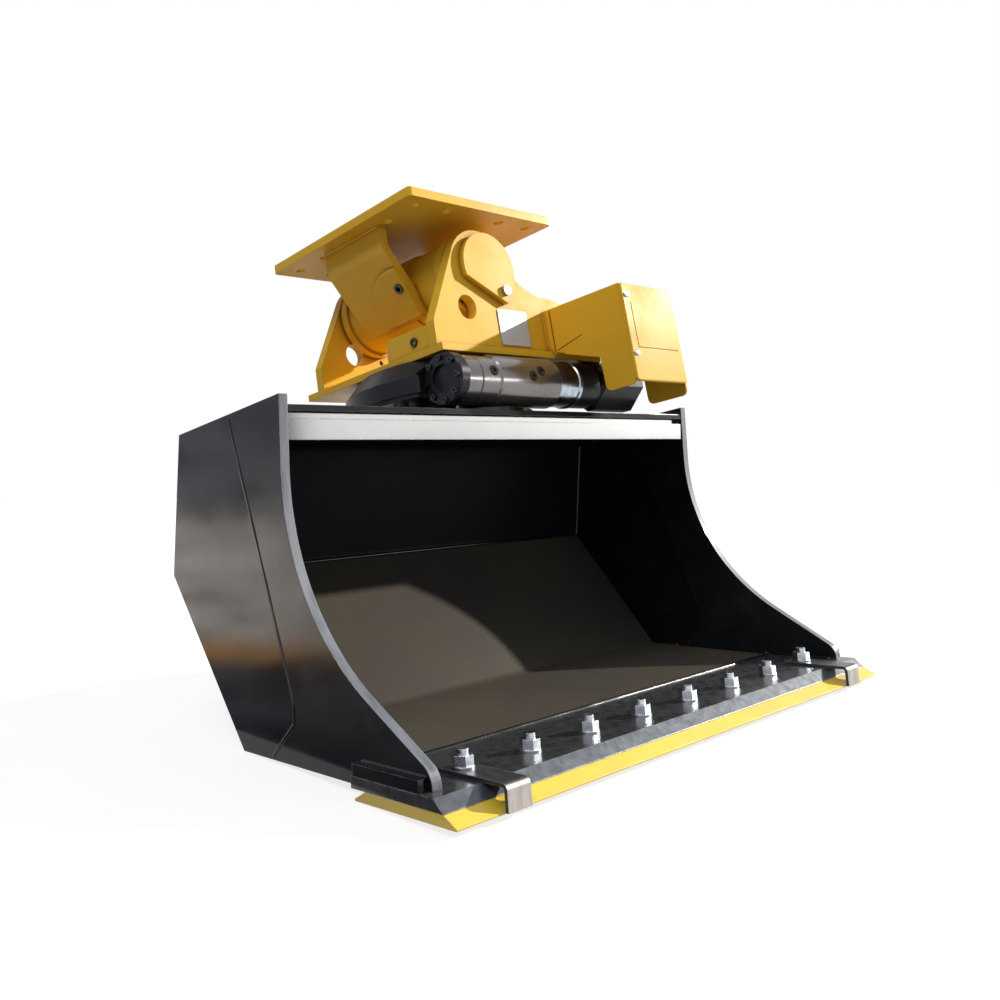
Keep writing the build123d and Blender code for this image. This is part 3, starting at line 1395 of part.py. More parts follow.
def frame_pieces():
    """Every piece of the lower frame."""
    front = FRONT_EAR_B - EAR_T
    back = REAR_EAR_B + EAR_T
    yield lower_plate(), "lower_plate"
    yield plate_bolts(), "plate_bolts"
    yield front_ear(), "front_ear"
    yield rear_ear(), "rear_ear"
    yield flag_plate(front, -1), "front_flag"
    yield flag_plate(back, 1), "rear_flag"
    yield flag_bolts(), "flag_bolts"
    yield tilt_shaft(), "tilt_shaft"
    yield tilt_thrust_rings(), "tilt_thrust_rings"
    yield label_plate(), "label_plate"
    yield manifold(), "manifold"
    yield manifold_ports(), "manifold_ports"
    yield guard_box(), "guard_box"
    yield guard_front(), "guard_front"
    yield guard_screws(), "guard_screws"


def bracket_pieces():
    """Every piece of the tilting bracket and its actuator."""
    yield top_plate(), "top_plate"
    for side, name in SIDES:
        yield v_plate(side), "v_plate_" + name
        yield tilt_pad(side), "tilt_pad_" + name
    yield actuator_tube(), "actuator_tube"
    yield gland(TUBE_FRONT, -1), "front_gland"
    yield gland(TUBE_BACK, 1), "rear_gland"
    yield gland_bolts(), "gland_bolts"
    yield tilt_ports(), "tilt_ports"
    yield piston(), "piston"


def main():
    """Build every piece and write its STEP file."""
    os.makedirs("parts", exist_ok=True)
    for group in (bucket_pieces, slew_pieces, frame_pieces, bracket_pieces):
        for piece, name in group():
            save(piece, name)


main()
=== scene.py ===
"""Looks for the tilt rotating bucket: materials, straps, weld beads, floor, light and camera."""
import json
import math

import bmesh
import bpy
from mathutils import Matrix, Vector

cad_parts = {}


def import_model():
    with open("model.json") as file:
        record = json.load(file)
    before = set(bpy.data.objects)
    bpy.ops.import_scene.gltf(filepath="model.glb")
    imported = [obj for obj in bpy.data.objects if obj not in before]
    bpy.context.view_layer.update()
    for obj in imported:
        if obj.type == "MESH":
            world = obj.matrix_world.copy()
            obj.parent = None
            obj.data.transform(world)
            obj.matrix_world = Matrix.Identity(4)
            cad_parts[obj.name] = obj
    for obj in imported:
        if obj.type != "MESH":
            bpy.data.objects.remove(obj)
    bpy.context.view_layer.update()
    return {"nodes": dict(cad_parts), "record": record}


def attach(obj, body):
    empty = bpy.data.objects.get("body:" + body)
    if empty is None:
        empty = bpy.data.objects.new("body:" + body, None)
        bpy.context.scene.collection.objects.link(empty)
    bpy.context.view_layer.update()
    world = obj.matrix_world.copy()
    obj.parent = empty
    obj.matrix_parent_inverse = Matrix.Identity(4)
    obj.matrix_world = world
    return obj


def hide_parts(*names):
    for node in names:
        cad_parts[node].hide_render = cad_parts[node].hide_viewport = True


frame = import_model()

# The head's tilted frame, in metres: its origin is the middle of the base plate's underside.
SLOPE = math.radians(9.5)
BACKWARD = Vector((0.0, math.cos(SLOPE), -math.sin(SLOPE)))
UPWARD = Vector((0.0, math.sin(SLOPE), math.cos(SLOPE)))
HEAD_AT = Vector((0.0, 0.201911, 0.703264))

# The worm's axis runs along X through this point, ahead of the head's origin and below it.
WORM_AHEAD, WORM_BELOW = 0.215, 0.060
WORM_AT = HEAD_AT - BACKWARD * WORM_AHEAD - UPWARD * WORM_BELOW

# The part of the case that has a gunmetal coat, in metres: a tube round the worm's axis.
TUBE_RADIUS = 0.0600
TUBE_HALF_LENGTH = 0.1482
TUBE_SHIFT = 0.002
COAT_BLEND = 0.0005

# Y of the bucket's mouth, in metres, and a point in its hollow.
MOUTH_Y = -0.082069
HOLLOW_AT = (0.0, 0.02, 0.30)

# Height in metres below which the shell is dusty inside; above it the inner wall is left black as
# painted shade.
DUST_AND_SHADE_LINE, DUST_AND_SHADE_BLEND = 0.288, 0.008

# The bucket's skin, in millimetres: its top slopes down to the back as the head does.
TOP_AT_MOUTH = 613.3
SHELL_T = 12.0

# X of the inner faces of the cheek and the side plate, and of the outer one.
CHEEK_IN, PLATE_IN, SIDE_OUT = 616.0, 623.0, 635.0

# X of the beads on the joint between the two, outside and inside.
JOINT_OUT, JOINT_IN = 631.6, 619.6

# Corners of the bucket's side view, as (y, z): the cheek's rear, inner folds, lip.
CHEEK_REAR = (-30, 108), (-30, 74)
BACK_FOLD, HEEL_FOLD, LIP_REAR = (356.3, 293.0), (129.0, 21.5), (-203.0, 35.0)

# X of both faces of the two gussets on the back.
GUSSET_FACES = -102, -88, 88, 102

# The lip is raked. Its frame starts at the edge's rear, this far before the mouth, in metres.
EDGE_AHEAD = 0.213
RAKE = math.radians(3.0)

# A strap, in millimetres in the lip's frame, and the drill for its bolt's hole.
STRAP_X, STRAP_W, STRAP_T = 533.4, 50.0, 5.95
STRAP_REAR, STRAP_NOSE = -84.0, -216.5
STRAP_TOP, STRAP_LOW = 35.3, 1.0
OUTER_BEND, INNER_BEND, BEND_STEPS = 10.0, 4.0, 8
BOLT_B, BOLT_HOLE_R, DRILL_SIDES = -112.0, 10.5, 32
DRILL_LOW, DRILL_HIGH = 20.0, 60.0

# A weld bead: distance between its rings, in metres, and their corners.
BEAD_STEP, BEAD_SIDES = 0.0022, 8

# The head, in millimetres in its own frame: base plate, faces of the ears, guard.
PLATE_TOP = 16
FRONT_EAR, REAR_EAR = (-215, -190), (186, 211)
GUARD_LEFT, GUARD_RIGHT, GUARD_TOP, GUARD_FRONT = 190, 385, 118, -236

# The mounting plate's rim, round the slew axis.
SLEW_B, RIM_R, RIM_H = -45, 195, -135.6

# A bent side plate's leaning face: where it starts, and how it runs in and down.
LEAN_A, LEAN_H = 183, 277
LEAN_IN, LEAN_DOWN = 0.580, 0.814

# The round pad on it, with its middle down along that face, and the face's own ends.
PAD_R, PAD_B, PAD_DOWN = 100, -73, 152
FACE_B, FACE_DOWN = -94, 179

# Colours that more than one finish uses; a black is a tone and what it drifts to.
PAINT_BLACKS = (0.007, 0.008, 0.011), (0.011, 0.012, 0.015)
CAST_BLACKS = (0.009, 0.010, 0.014), (0.015, 0.016, 0.021)
RUBBED_STEEL = (0.34, 0.35, 0.37)

# Radii in metres at which edges count as outer edges.
PAINT_EDGE, CAST_EDGE, LIP_EDGE, STRAP_EDGE = 0.0018, 0.0014, 0.0016, 0.0012
METAL_EDGE, LABEL_EDGE = 0.0008, 0.0022

# How alike the rounded and the true normal are, off an edge and on it.
OFF_EDGE, ON_EDGE = 0.985, 0.90

# How open a place is where no painted corner shade falls, and where all of it does.
OPEN_PLACE, DEEP_CORNER = 0.92, 0.45

# Leaves only what lies across X.
ACROSS_X = (0.0, 1.0, 1.0)

# Places of the colour sockets on a Mix node.
MIX_FIRST, MIX_SECOND, MIX_RESULT = 6, 7, 2


def head(a, b, h):
    """Place in the head's frame, in millimetres, as a point in metres."""
    return HEAD_AT + Vector((a / 1000, 0, 0)) + BACKWARD * (b / 1000) + UPWARD * (h / 1000)


def shell(x, y, z):
    """Place on the bucket, in millimetres, with y counted from its mouth."""
    return Vector((x / 1000, MOUTH_Y + y / 1000, z / 1000))


def lip(x, b, h):
    """Place on the lip, in millimetres: b behind the edge's rear, h over the underside."""
    return Vector((
        x / 1000,
        MOUTH_Y - EDGE_AHEAD + (b * math.cos(RAKE) + h * math.sin(RAKE)) / 1000,
        (h * math.cos(RAKE) - b * math.sin(RAKE)) / 1000,
    ))


def top_skin(y):
    """Height of the bucket's top skin, in millimetres, y behind its mouth."""
    return TOP_AT_MOUTH - y * math.tan(SLOPE)


def under_top(y):
    """Height of the top's underside, in millimetres, y behind the mouth."""
    return top_skin(y) - SHELL_T / math.cos(SLOPE)


class Nodes:
    """Small helper that adds and links shader nodes."""

    def __init__(self, name):
        self.material = bpy.data.materials.new(name)
        self.material.use_nodes = True
        self.tree = self.material.node_tree
        self.shader = self.tree.nodes["Principled BSDF"]

    def feed(self, socket, value):
        """Links the socket to a value that is a socket too, or sets it."""
        if isinstance(value, bpy.types.NodeSocket):
            self.tree.links.new(value, socket)
        else:
            socket.default_value = value

    def add(self, kind, **values):
        """New node; a value feeds the input of its name, or else sets the property."""
        node = self.tree.nodes.new(kind)
        for key, value in values.items():
            if key in node.inputs:
                self.feed(node.inputs[key], value)
            else:
                setattr(node, key, value)
        return node

    def link(self, output, key):
        """Links an output to an input of the material's shader."""
        self.tree.links.new(output, self.shader.inputs[key])

    def set(self, **values):
        """Sets inputs of the material's shader, with underscores for spaces."""
        for key, value in values.items():
            self.shader.inputs[key.replace("_", " ")].default_value = value

    def position(self):
        return self.add("ShaderNodeTexCoord").outputs["Object"]

    def normal(self):
        return self.add("ShaderNodeNewGeometry").outputs["Normal"]

    def part(self, vector, axis):
        """The vector's X, Y or Z."""
        return self.add("ShaderNodeSeparateXYZ", Vector=vector).outputs[axis]

    def noise(self, scale, detail=4.0, rough=0.55, vector=None):
        """Cloudy noise about 0.5."""
        vector = vector or self.position()
        return self.add(
            "ShaderNodeTexNoise", Vector=vector, Scale=scale, Detail=detail, Roughness=rough
        ).outputs["Fac"]

    def stretched(self, scale):
        """The position, scaled by its own amount along each axis."""
        return self.add("ShaderNodeMapping", Vector=self.position(), Scale=scale).outputs["Vector"]

    def streaks(self, scale, detail=6, rough=0.65):
        """Noise in streaks, which are finest along the axis of the largest scale."""
        return self.noise(1.0, detail, rough, self.stretched(scale))

    def remap(self, value, low, high, start=0.0, end=1.0):
        """Takes low to high over to start to end, and holds it there outside them."""
        node = self.add("ShaderNodeMapRange", Value=value)
        ranges = {"From Min": low, "From Max": high, "To Min": start, "To Max": end}
        for key, number in ranges.items():
            node.inputs[key].default_value = number
        return node.outputs["Result"]

    def between(self, mask, start, end):
        """Start where the mask is 0, end where it is 1."""
        return self.remap(mask, 0.0, 1.0, start, end)

    def mix(self, factor, first, second):
        """Colour between two sockets or plain colours."""
        node = self.add("ShaderNodeMix", data_type="RGBA")
        self.feed(node.inputs["Factor"], factor)
        for index, value in ((MIX_FIRST, first), (MIX_SECOND, second)):
            plain = not isinstance(value, bpy.types.NodeSocket)
            self.feed(node.inputs[index], (*value, 1.0) if plain else value)
        return node.outputs[MIX_RESULT]

    def operate(self, kind, operation, values):
        """Maths node of a kind, its inputs fed in order."""
        node = self.add(kind, operation=operation)
        for socket, value in zip(node.inputs, values):
            self.feed(socket, value)
        return node.outputs

    def maths(self, operation, first, second):
        """Maths on two sockets or numbers."""
        return self.operate("ShaderNodeMath", operation, (first, second))[0]

    def product(self, first, second):
        return self.maths("MULTIPLY", first, second)

    def vectors(self, operation, *values):
        """Maths on vectors, with a vector as the result."""
        return self.operate("ShaderNodeVectorMath", operation, values)["Vector"]

    def measure(self, operation, *values):
        """Maths on vectors, with a number as the result."""
        return self.operate("ShaderNodeVectorMath", operation, values)["Value"]

    def rounded(self, radius):
        """Normal that rounds the outer edges."""
        return self.add("ShaderNodeBevel", Radius=radius, samples=6).outputs["Normal"]

    def edges(self, rounded):
        """Mask that is 1 on outer edges, where the rounded normal leaves the true one."""
        return self.remap(self.measure("DOT_PRODUCT", rounded, self.normal()), OFF_EDGE, ON_EDGE)

    def forward(self, low, high):
        """Mask that is 1 on the faces that look forward."""
        return self.remap(self.product(self.part(self.normal(), "Y"), -1.0), low, high)

    def painted_corner_shade(self, distance):
        """Mask that is 1 in corners and under overlaps, where painted shade goes."""
        node = self.add("ShaderNodeAmbientOcclusion", Distance=distance, samples=6)
        return self.remap(node.outputs["AO"], OPEN_PLACE, DEEP_CORNER)

    def bumps(self, height, strength, distance, normal=None):
        """Normal with bumps; distance is their height in metres."""
        node = self.add("ShaderNodeBump", Strength=strength, Distance=distance, Height=height)
        if normal:
            self.tree.links.new(normal, node.inputs["Normal"])
        return node.outputs["Normal"]

    def drift(self, scale=3.2, detail=3):
        """Slow change of tone over the piece."""
        return self.remap(self.noise(scale, detail), 0.35, 0.68)

    def rubbed(self, mask, scale=34.0, low=0.46, high=0.6):
        """The mask, broken up into rubbed spots."""
        return self.product(mask, self.remap(self.noise(scale, 6, 0.7), low, high))

    def uneven(self, low, high):
        """Roughness of paint, which drifts from low to high."""
        return self.remap(self.noise(7.0, 5, 0.6), 0.3, 0.75, low, high)

    def orange_peel(self, wave, grain, rounded):
        """Normal of sprayed paint: slow waves with a fine grain, their heights in metres."""
        normal = self.bumps(self.noise(4.5, 2), 0.35, wave, rounded)
        return self.bumps(self.noise(240.0, 2), 0.3, grain, normal)


def sprayed(
    name, *, colours, rough, wear, peel, grime, specular=0.5, coat=0.35,
    dust=(0.27, 0.25, 0.22), wave=12.0, corner_shade_colour=None, front=None,
):
    """Sprayed paint: tone drift, orange peel, dust film, painted shade in crevices and rubbed
    edges.

    wave counts the height of the slow waves in peels. front is the colour of the scuffs on faces
    that look forward, partly a painted highlight on them, and wear that of the rubbed edges.
    """
    m = Nodes(name)
    film = m.remap(m.noise(11.0, 8, 0.66), 0.52, 0.8, 0.0, grime)
    base = m.mix(film, m.mix(m.drift(), *colours), dust)
    gloss = m.maths("ADD", m.uneven(rough * 0.75, rough * 1.6), m.product(film, 0.35))
    # Painted shade: corners and places under overlaps darken towards the corner colour, as by
    # ambient occlusion.
    if corner_shade_colour:
        base = m.mix(m.product(m.painted_corner_shade(0.014), 0.8), base, corner_shade_colour)
    # Forward faces turn lighter: worn paint, and partly a painted highlight where they catch the
    # light.
    if front:
        scuffs_and_sheen = m.remap(m.streaks((60.0, 9.0, 9.0)), 0.32, 0.6, 0.45, 1.0)
        scuffs_and_sheen = m.product(m.forward(0.12, 0.3), scuffs_and_sheen)
        base = m.mix(scuffs_and_sheen, base, front)
        gloss = m.maths("ADD", gloss, m.product(scuffs_and_sheen, 0.4))
    rounded = m.rounded(PAINT_EDGE)
    m.link(m.mix(m.rubbed(m.edges(rounded)), base, wear), "Base Color")
    m.link(gloss, "Roughness")
    m.link(m.orange_peel(peel * wave, peel, rounded), "Normal")
    m.set(Coat_Weight=coat, Coat_Roughness=0.08, Specular_IOR_Level=specular)
    return m.material


def metal(name, *, colour, dark, rough, streak=(60.0, 60.0, 60.0), metallic=1.0):
    """Bare or plated metal with fine machining or plating marks."""
    m = Nodes(name)
    marks = m.streaks(streak, rough=0.62)
    cloud = m.noise(26.0, 5, 0.6)
    base = m.mix(m.remap(marks, 0.35, 0.72), colour, dark)
    base = m.mix(m.remap(cloud, 0.56, 0.82, 0.0, 0.45), base, dark)
    m.link(base, "Base Color")
    m.link(m.remap(cloud, 0.3, 0.75, rough * 0.7, rough * 1.7), "Roughness")
    m.link(m.bumps(marks, 0.2, 0.0002, m.rounded(METAL_EDGE)), "Normal")
    m.set(Metallic=metallic)
    return m.material


def cast_case():
    """Black casting whose worm tube has a glossy gunmetal coat."""
    m = Nodes("cast_case")
    place = m.vectors("SUBTRACT", m.position(), WORM_AT)
    reach = m.measure("LENGTH", m.vectors("MULTIPLY", place, ACROSS_X))
    along = m.maths("ABSOLUTE", m.maths("ADD", m.part(place, "X"), TUBE_SHIFT), 0.0)
    tube = m.product(
        m.remap(reach, TUBE_RADIUS + COAT_BLEND, TUBE_RADIUS),
        m.remap(along, TUBE_HALF_LENGTH + COAT_BLEND, TUBE_HALF_LENGTH),
    )
    rough_cast = m.maths("SUBTRACT", 1.0, tube)
    drift = m.drift(9.0, 4)
    black = m.mix(drift, *CAST_BLACKS)
    grey = m.mix(drift, (0.22, 0.205, 0.20), (0.16, 0.15, 0.148))
    film = m.remap(m.noise(16.0, 8, 0.66), 0.55, 0.8, 0.0, 0.12)
    base = m.mix(film, m.mix(tube, black, grey), (0.2, 0.18, 0.16))
    rounded = m.rounded(CAST_EDGE)
    rubbed = m.rubbed(m.edges(rounded), 40.0, 0.5, 0.62)
    m.link(m.mix(m.product(rubbed, 0.5), base, (0.3, 0.3, 0.31)), "Base Color")
    m.link(m.product(tube, 0.65), "Metallic")
    m.link(m.between(tube, 0.16, 0.5), "Specular IOR Level")
    gloss = m.maths("ADD", m.remap(m.noise(12.0, 5), 0.3, 0.75, 0.16, 0.32), film)
    m.link(m.maths("ADD", gloss, m.product(rough_cast, 0.16)), "Roughness")
    normal = m.bumps(m.product(m.noise(130.0, 4), rough_cast), 0.5, 0.0005, rounded)
    m.link(m.bumps(m.noise(260.0, 2), 0.25, 0.0001, normal), "Normal")
    m.link(m.between(tube, 0.04, 0.4), "Coat Weight")
    m.set(Coat_Roughness=0.06)
    return m.material


def shell_paint():
    """Bucket shell: gloss black, with a dull brown-grey dust film on its inner slope and floor;
    above that the inner wall stays black as painted shade.
    """
    m = Nodes("shell_paint")
    inward = m.vectors("MULTIPLY", m.vectors("SUBTRACT", HOLLOW_AT, m.position()), ACROSS_X)
    inner = m.remap(m.measure("DOT_PRODUCT", inward, m.normal()), -0.005, 0.005)
    # Painted shade: the inner wall above this height stays black as if in shadow; below it lies
    # the brown-grey dust.
    low = m.remap(m.part(m.position(), "Z"), DUST_AND_SHADE_LINE + DUST_AND_SHADE_BLEND, DUST_AND_SHADE_LINE)
    drift = m.drift()
    black = m.mix(drift, *PAINT_BLACKS)
    brown = m.mix(drift, (0.077, 0.066, 0.052), (0.061, 0.054, 0.045))
    rounded = m.rounded(PAINT_EDGE)
    base = m.mix(m.product(inner, low), black, brown)
    m.link(m.mix(m.rubbed(m.edges(rounded)), base, (0.16, 0.155, 0.15)), "Base Color")
    m.link(m.maths("ADD", m.uneven(0.10, 0.21), m.product(inner, 0.32)), "Roughness")
    m.link(m.between(inner, 0.24, 0.04), "Specular IOR Level")
    m.link(m.between(inner, 0.05, 0.0), "Coat Weight")
    m.link(m.orange_peel(0.004, 0.0001, rounded), "Normal")
    return m.material


def lip_finish():
    """Dark lip plate: gloss paint, rubbed in long streaks along its bevel, the rubbed bevel tinted
    blue as a painted sky reflection.
    """
    m = Nodes("lip_finish")
    streaks = m.streaks((5.0, 60.0, 60.0), 7, 0.7)
    grains = m.noise(55.0, 6, 0.7)
    worn = m.product(m.forward(0.35, 0.6), m.remap(streaks, 0.3, 0.62, 0.25, 1.0))
    rounded = m.rounded(LIP_EDGE)
    rubbed = m.product(m.edges(rounded), m.remap(grains, 0.42, 0.55))
    base = m.mix(m.remap(grains, 0.4, 0.7), (0.026, 0.027, 0.030), (0.048, 0.048, 0.050))
    # The bevel's rubbed steel is tinted blue: partly wear, partly a painted reflection of the sky.
    base = m.mix(worn, base, (0.075, 0.092, 0.122))
    m.link(m.mix(rubbed, base, (0.36, 0.37, 0.4)), "Base Color")
    m.link(m.remap(grains, 0.3, 0.7, 0.22, 0.42), "Roughness")
    m.link(m.product(worn, 0.25), "Metallic")
    m.set(Coat_Weight=0.3, Coat_Roughness=0.1)
    m.link(m.bumps(m.noise(190.0, 3), 0.3, 0.0002, rounded), "Normal")
    return m.material


def strap_finish():
    """Black strap, its folded front rubbed down to bare steel."""
    m = Nodes("strap_finish")
    streaks = m.streaks((90.0, 20.0, 20.0))
    worn = m.product(m.forward(0.45, 0.75), m.remap(streaks, 0.3, 0.6, 0.7, 1.0))
    rounded = m.rounded(STRAP_EDGE)
    base = m.mix(m.remap(streaks, 0.35, 0.7), (0.03, 0.031, 0.034), (0.05, 0.05, 0.052))
    base = m.mix(worn, base, (0.44, 0.40, 0.37))
    m.link(m.mix(m.product(m.edges(rounded), 0.7), base, (0.5, 0.5, 0.52)), "Base Color")
    m.link(m.remap(streaks, 0.3, 0.7, 0.26, 0.42), "Roughness")
    m.link(m.product(worn, 0.6), "Metallic")
    m.link(m.bumps(streaks, 0.2, 0.0002, rounded), "Normal")
    return m.material


def rubber():
    """Dull black rubber with a fine grain."""
    m = Nodes("seal_rubber")
    m.link(m.mix(m.noise(40.0), (0.012, 0.012, 0.013), (0.03, 0.03, 0.03)), "Base Color")
    m.link(m.remap(m.noise(90.0), 0.3, 0.7, 0.55, 0.8), "Roughness")
    m.link(m.bumps(m.noise(420.0), 0.3, 0.0003), "Normal")
    return m.material


def blank_label():
    """Satin foil plate, blank, with a thin darker rim and fine brushing."""
    m = Nodes("label_metal")
    marks = m.streaks((30.0, 300.0, 300.0), 5, 0.6)
    rounded = m.rounded(LABEL_EDGE)
    base = m.mix(m.remap(marks, 0.3, 0.7), (0.60, 0.65, 0.72), (0.48, 0.53, 0.61))
    m.link(m.mix(m.edges(rounded), base, (0.20, 0.22, 0.26)), "Base Color")
    m.link(m.remap(marks, 0.3, 0.7, 0.28, 0.42), "Roughness")
    m.link(rounded, "Normal")
    m.set(Metallic=0.25)
    return m.material


BLACK = sprayed(
    "black_paint", colours=PAINT_BLACKS, rough=0.13, wear=(0.20, 0.20, 0.22),
    peel=0.00012, grime=0.05, specular=0.24, coat=0.05, wave=40.0,
)
BAR_BLACK = sprayed(
    "bar_paint", colours=((0.008, 0.009, 0.012), (0.012, 0.013, 0.017)), rough=0.10,
    wear=RUBBED_STEEL, peel=0.0001, grime=0.05, specular=0.6, coat=0.7,
)
# The cheeks' forward faces are lightened bluish: worn bare steel, and partly a painted highlight.
CHEEK_BLACK = sprayed(
    "cheek_paint", colours=((0.009, 0.010, 0.013), (0.013, 0.014, 0.018)), rough=0.16,
    wear=RUBBED_STEEL, peel=0.0001, grime=0.05, specular=0.26, coat=0.06,
    front=(0.20, 0.215, 0.25),
)
# Yellow paint; its dark brown corner colour is painted shade.
YELLOW = sprayed(
    "yellow_paint", colours=((0.82, 0.49, 0.035), (0.76, 0.43, 0.028)), rough=0.36,
    wear=(0.46, 0.30, 0.08), peel=0.0001, grime=0.06, specular=0.09, coat=0.01,
    dust=(0.42, 0.26, 0.08), corner_shade_colour=(0.30, 0.12, 0.015),
)
EDGE_YELLOW = sprayed(
    "edge_yellow", colours=((0.88, 0.62, 0.055), (0.80, 0.54, 0.045)), rough=0.42,
    wear=(0.42, 0.36, 0.22), peel=0.00016, grime=0.28,
)
CAST_BLACK = sprayed(
    "cast_black", colours=CAST_BLACKS, rough=0.30, wear=(0.12, 0.12, 0.13),
    peel=0.0003, grime=0.08, specular=0.16, coat=0.04,
)
# Dark brown for thin beads that are painted shade round the pads and along the guard's folds.
SHADE_BROWN = sprayed(
    "painted_shade_brown", colours=((0.22, 0.075, 0.012), (0.16, 0.055, 0.010)), rough=0.4,
    wear=(0.24, 0.09, 0.02), peel=0.0001, grime=0.05, specular=0.3, coat=0.0,
)
BAND = metal(
    "band_steel", colour=(0.46, 0.52, 0.58), dark=(0.24, 0.28, 0.33), rough=0.2,
    streak=(200, 40, 40),
)
DARK = metal(
    "black_steel", colour=(0.020, 0.021, 0.024), dark=(0.010, 0.010, 0.012), rough=0.34,
    metallic=0.3,
)
ZINC = metal("zinc_steel", colour=(0.60, 0.63, 0.69), dark=(0.33, 0.35, 0.39), rough=0.26)
STEEL = metal(
    "machined_steel", colour=(0.56, 0.57, 0.6), dark=(0.3, 0.31, 0.33), rough=0.22,
    streak=(200, 40, 40),
)
BRONZE = metal(
    "bronze", colour=(0.72, 0.48, 0.21), dark=(0.42, 0.27, 0.12), rough=0.28,
    streak=(30, 30, 120),
)
SHELL = shell_paint()
CASE = cast_case()
STRAP = strap_finish()
LIP = lip_finish()

# The material of each slot, and of the nodes that have one of their own.
FINISH = {
    "black_paint": BLACK, "yellow_paint": YELLOW, "lip_steel": LIP, "zinc_steel": ZINC,
    "machined_steel": STEEL, "bronze": BRONZE, "seal_rubber": rubber(),
    "label_metal": blank_label(), "black_steel": DARK,
}
OWN = {
    "bucket_shell": SHELL, "cheek_left": CHEEK_BLACK, "cheek_right": CHEEK_BLACK,
    "top_beam": BAR_BLACK, "cutting_edge": EDGE_YELLOW, "edge_strap_left": STRAP,
    "edge_strap_right": STRAP, "gear_case": CASE, "case_cover": CAST_BLACK,
    "worm_end_cap": CAST_BLACK, "slew_motor": CAST_BLACK, "slew_hub": CAST_BLACK,
    "motor_adapter": BAND,
}


def dress():
    """Every CAD node gets the material of its slot, or its own."""
    for part in frame["record"]["subparts"]:
        node = frame["nodes"][part["node"]]
        material = OWN.get(part["node"], FINISH[part["material_slot"]])
        node.data.materials.clear()
        node.data.materials.append(material)


dress()


def skin(mesh, rings):
    """Closes a solid over rings that all have the same number of corners."""
    count = len(rings[0])
    for first, second in zip(rings, rings[1:]):
        for corner in range(count):
            after = (corner + 1) % count
            mesh.faces.new((first[corner], first[after], second[after], second[corner]))
    mesh.faces.new(rings[0][::-1])
    mesh.faces.new(rings[-1])


def linked(name, mesh):
    """New object in the scene with the finished mesh."""
    data = bpy.data.meshes.new(name)
    mesh.to_mesh(data)
    mesh.free()
    piece = bpy.data.objects.new(name, data)
    bpy.context.collection.objects.link(piece)
    return piece


def strap_profile():
    """Side view of a strap: flat on the lip, then bent square down over the nose."""
    front, top = STRAP_NOSE - STRAP_T, STRAP_TOP + STRAP_T
    outer, inner = [(STRAP_REAR, top)], [(STRAP_REAR, STRAP_TOP)]
    for step in range(BEND_STEPS + 1):
        turn = math.radians(90 * step / BEND_STEPS)
        for line, radius in ((outer, OUTER_BEND), (inner, INNER_BEND)):
            line.append((
                front + OUTER_BEND - radius * math.sin(turn),
                top - OUTER_BEND + radius * math.cos(turn),
            ))
    outer.append((front, STRAP_LOW))
    inner.append((STRAP_NOSE, STRAP_LOW))
    return outer + inner[::-1]


def strap_drill(middle):
    """Drill that cuts the hole for the bolt through a strap."""
    mesh = bmesh.new()
    turns = [math.tau * index / DRILL_SIDES for index in range(DRILL_SIDES)]
    skin(mesh, [
        [
            mesh.verts.new(lip(
                middle + BOLT_HOLE_R * math.cos(turn), BOLT_B + BOLT_HOLE_R * math.sin(turn), h
            ))
            for turn in turns
        ]
        for h in (DRILL_LOW, DRILL_HIGH)
    ])
    return linked("drill", mesh)


def strap(side, name):
    """Hooked strap, bent over the edge's nose, with a hole for its bolt."""
    middle = side * STRAP_X
    mesh = bmesh.new()
    skin(mesh, [
        [mesh.verts.new(lip(middle + reach, *spot)) for spot in strap_profile()]
        for reach in (-STRAP_W / 2, STRAP_W / 2)
    ])
    bmesh.ops.recalc_face_normals(mesh, faces=mesh.faces)
    piece = linked(name, mesh)
    cutter = strap_drill(middle)
    cut = piece.modifiers.new("hole", "BOOLEAN")
    cut.operation = "DIFFERENCE"
    cut.object = cutter
    bpy.context.view_layer.update()
    shown = piece.evaluated_get(bpy.context.evaluated_depsgraph_get())
    finished = bpy.data.meshes.new_from_object(shown)
    piece.modifiers.clear()
    piece.data = finished
    bpy.data.objects.remove(cutter)
    finished.materials.clear()
    finished.materials.append(STRAP)
    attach(piece, "bucket")
    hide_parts("edge_" + name)


def resampled(points, step):
    """Points along a polyline at even steps, its corners kept."""
    spots = []
    for first, second in zip(points, points[1:]):
        count = max(1, round((second - first).length / step))
        spots += [first.lerp(second, index / count) for index in range(count)]
    return spots + [points[-1]]


def bead_swell(index, last):
    """Thickness of a bead at its ring: fine ripples, slow waves and drawn-in ends."""
    ripple = 1.0 + 0.10 * abs(math.sin(index * 1.05)) + 0.05 * math.sin(index * 0.137)
    return ripple * min(1.0, 0.35 + 0.25 * min(index, last - index))


def bead(mesh, points, radius):
    """Adds a rippled weld bead along a polyline, its ends drawn in."""
    spots = resampled(points, BEAD_STEP)
    last = len(spots) - 1
    turns = [2 * math.pi * side / BEAD_SIDES for side in range(BEAD_SIDES)]
    across = None
    rings = []
    for index, spot in enumerate(spots):
        ahead = (spots[min(index + 1, last)] - spots[max(index - 1, 0)]).normalized()
        if across is None:
            across = ahead.orthogonal()
        across = (across - ahead * across.dot(ahead)).normalized()
        other = ahead.cross(across)
        reach = radius * bead_swell(index, last)
        rings.append([
            mesh.verts.new(
                spot + across * (reach * math.cos(turn)) + other * (reach * math.sin(turn))
            )
            for turn in turns
        ])
    skin(mesh, rings)


def welds(name, body, material, seams):
    """One object with every bead of a body; seams holds (points, radius in mm)."""
    mesh = bmesh.new()
    for points, radius in seams:
        bead(mesh, points, radius / 1000)
    piece = linked(name, mesh)
    for face in piece.data.polygons:
        face.use_smooth = True
    piece.data.materials.append(material)
    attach(piece, body)


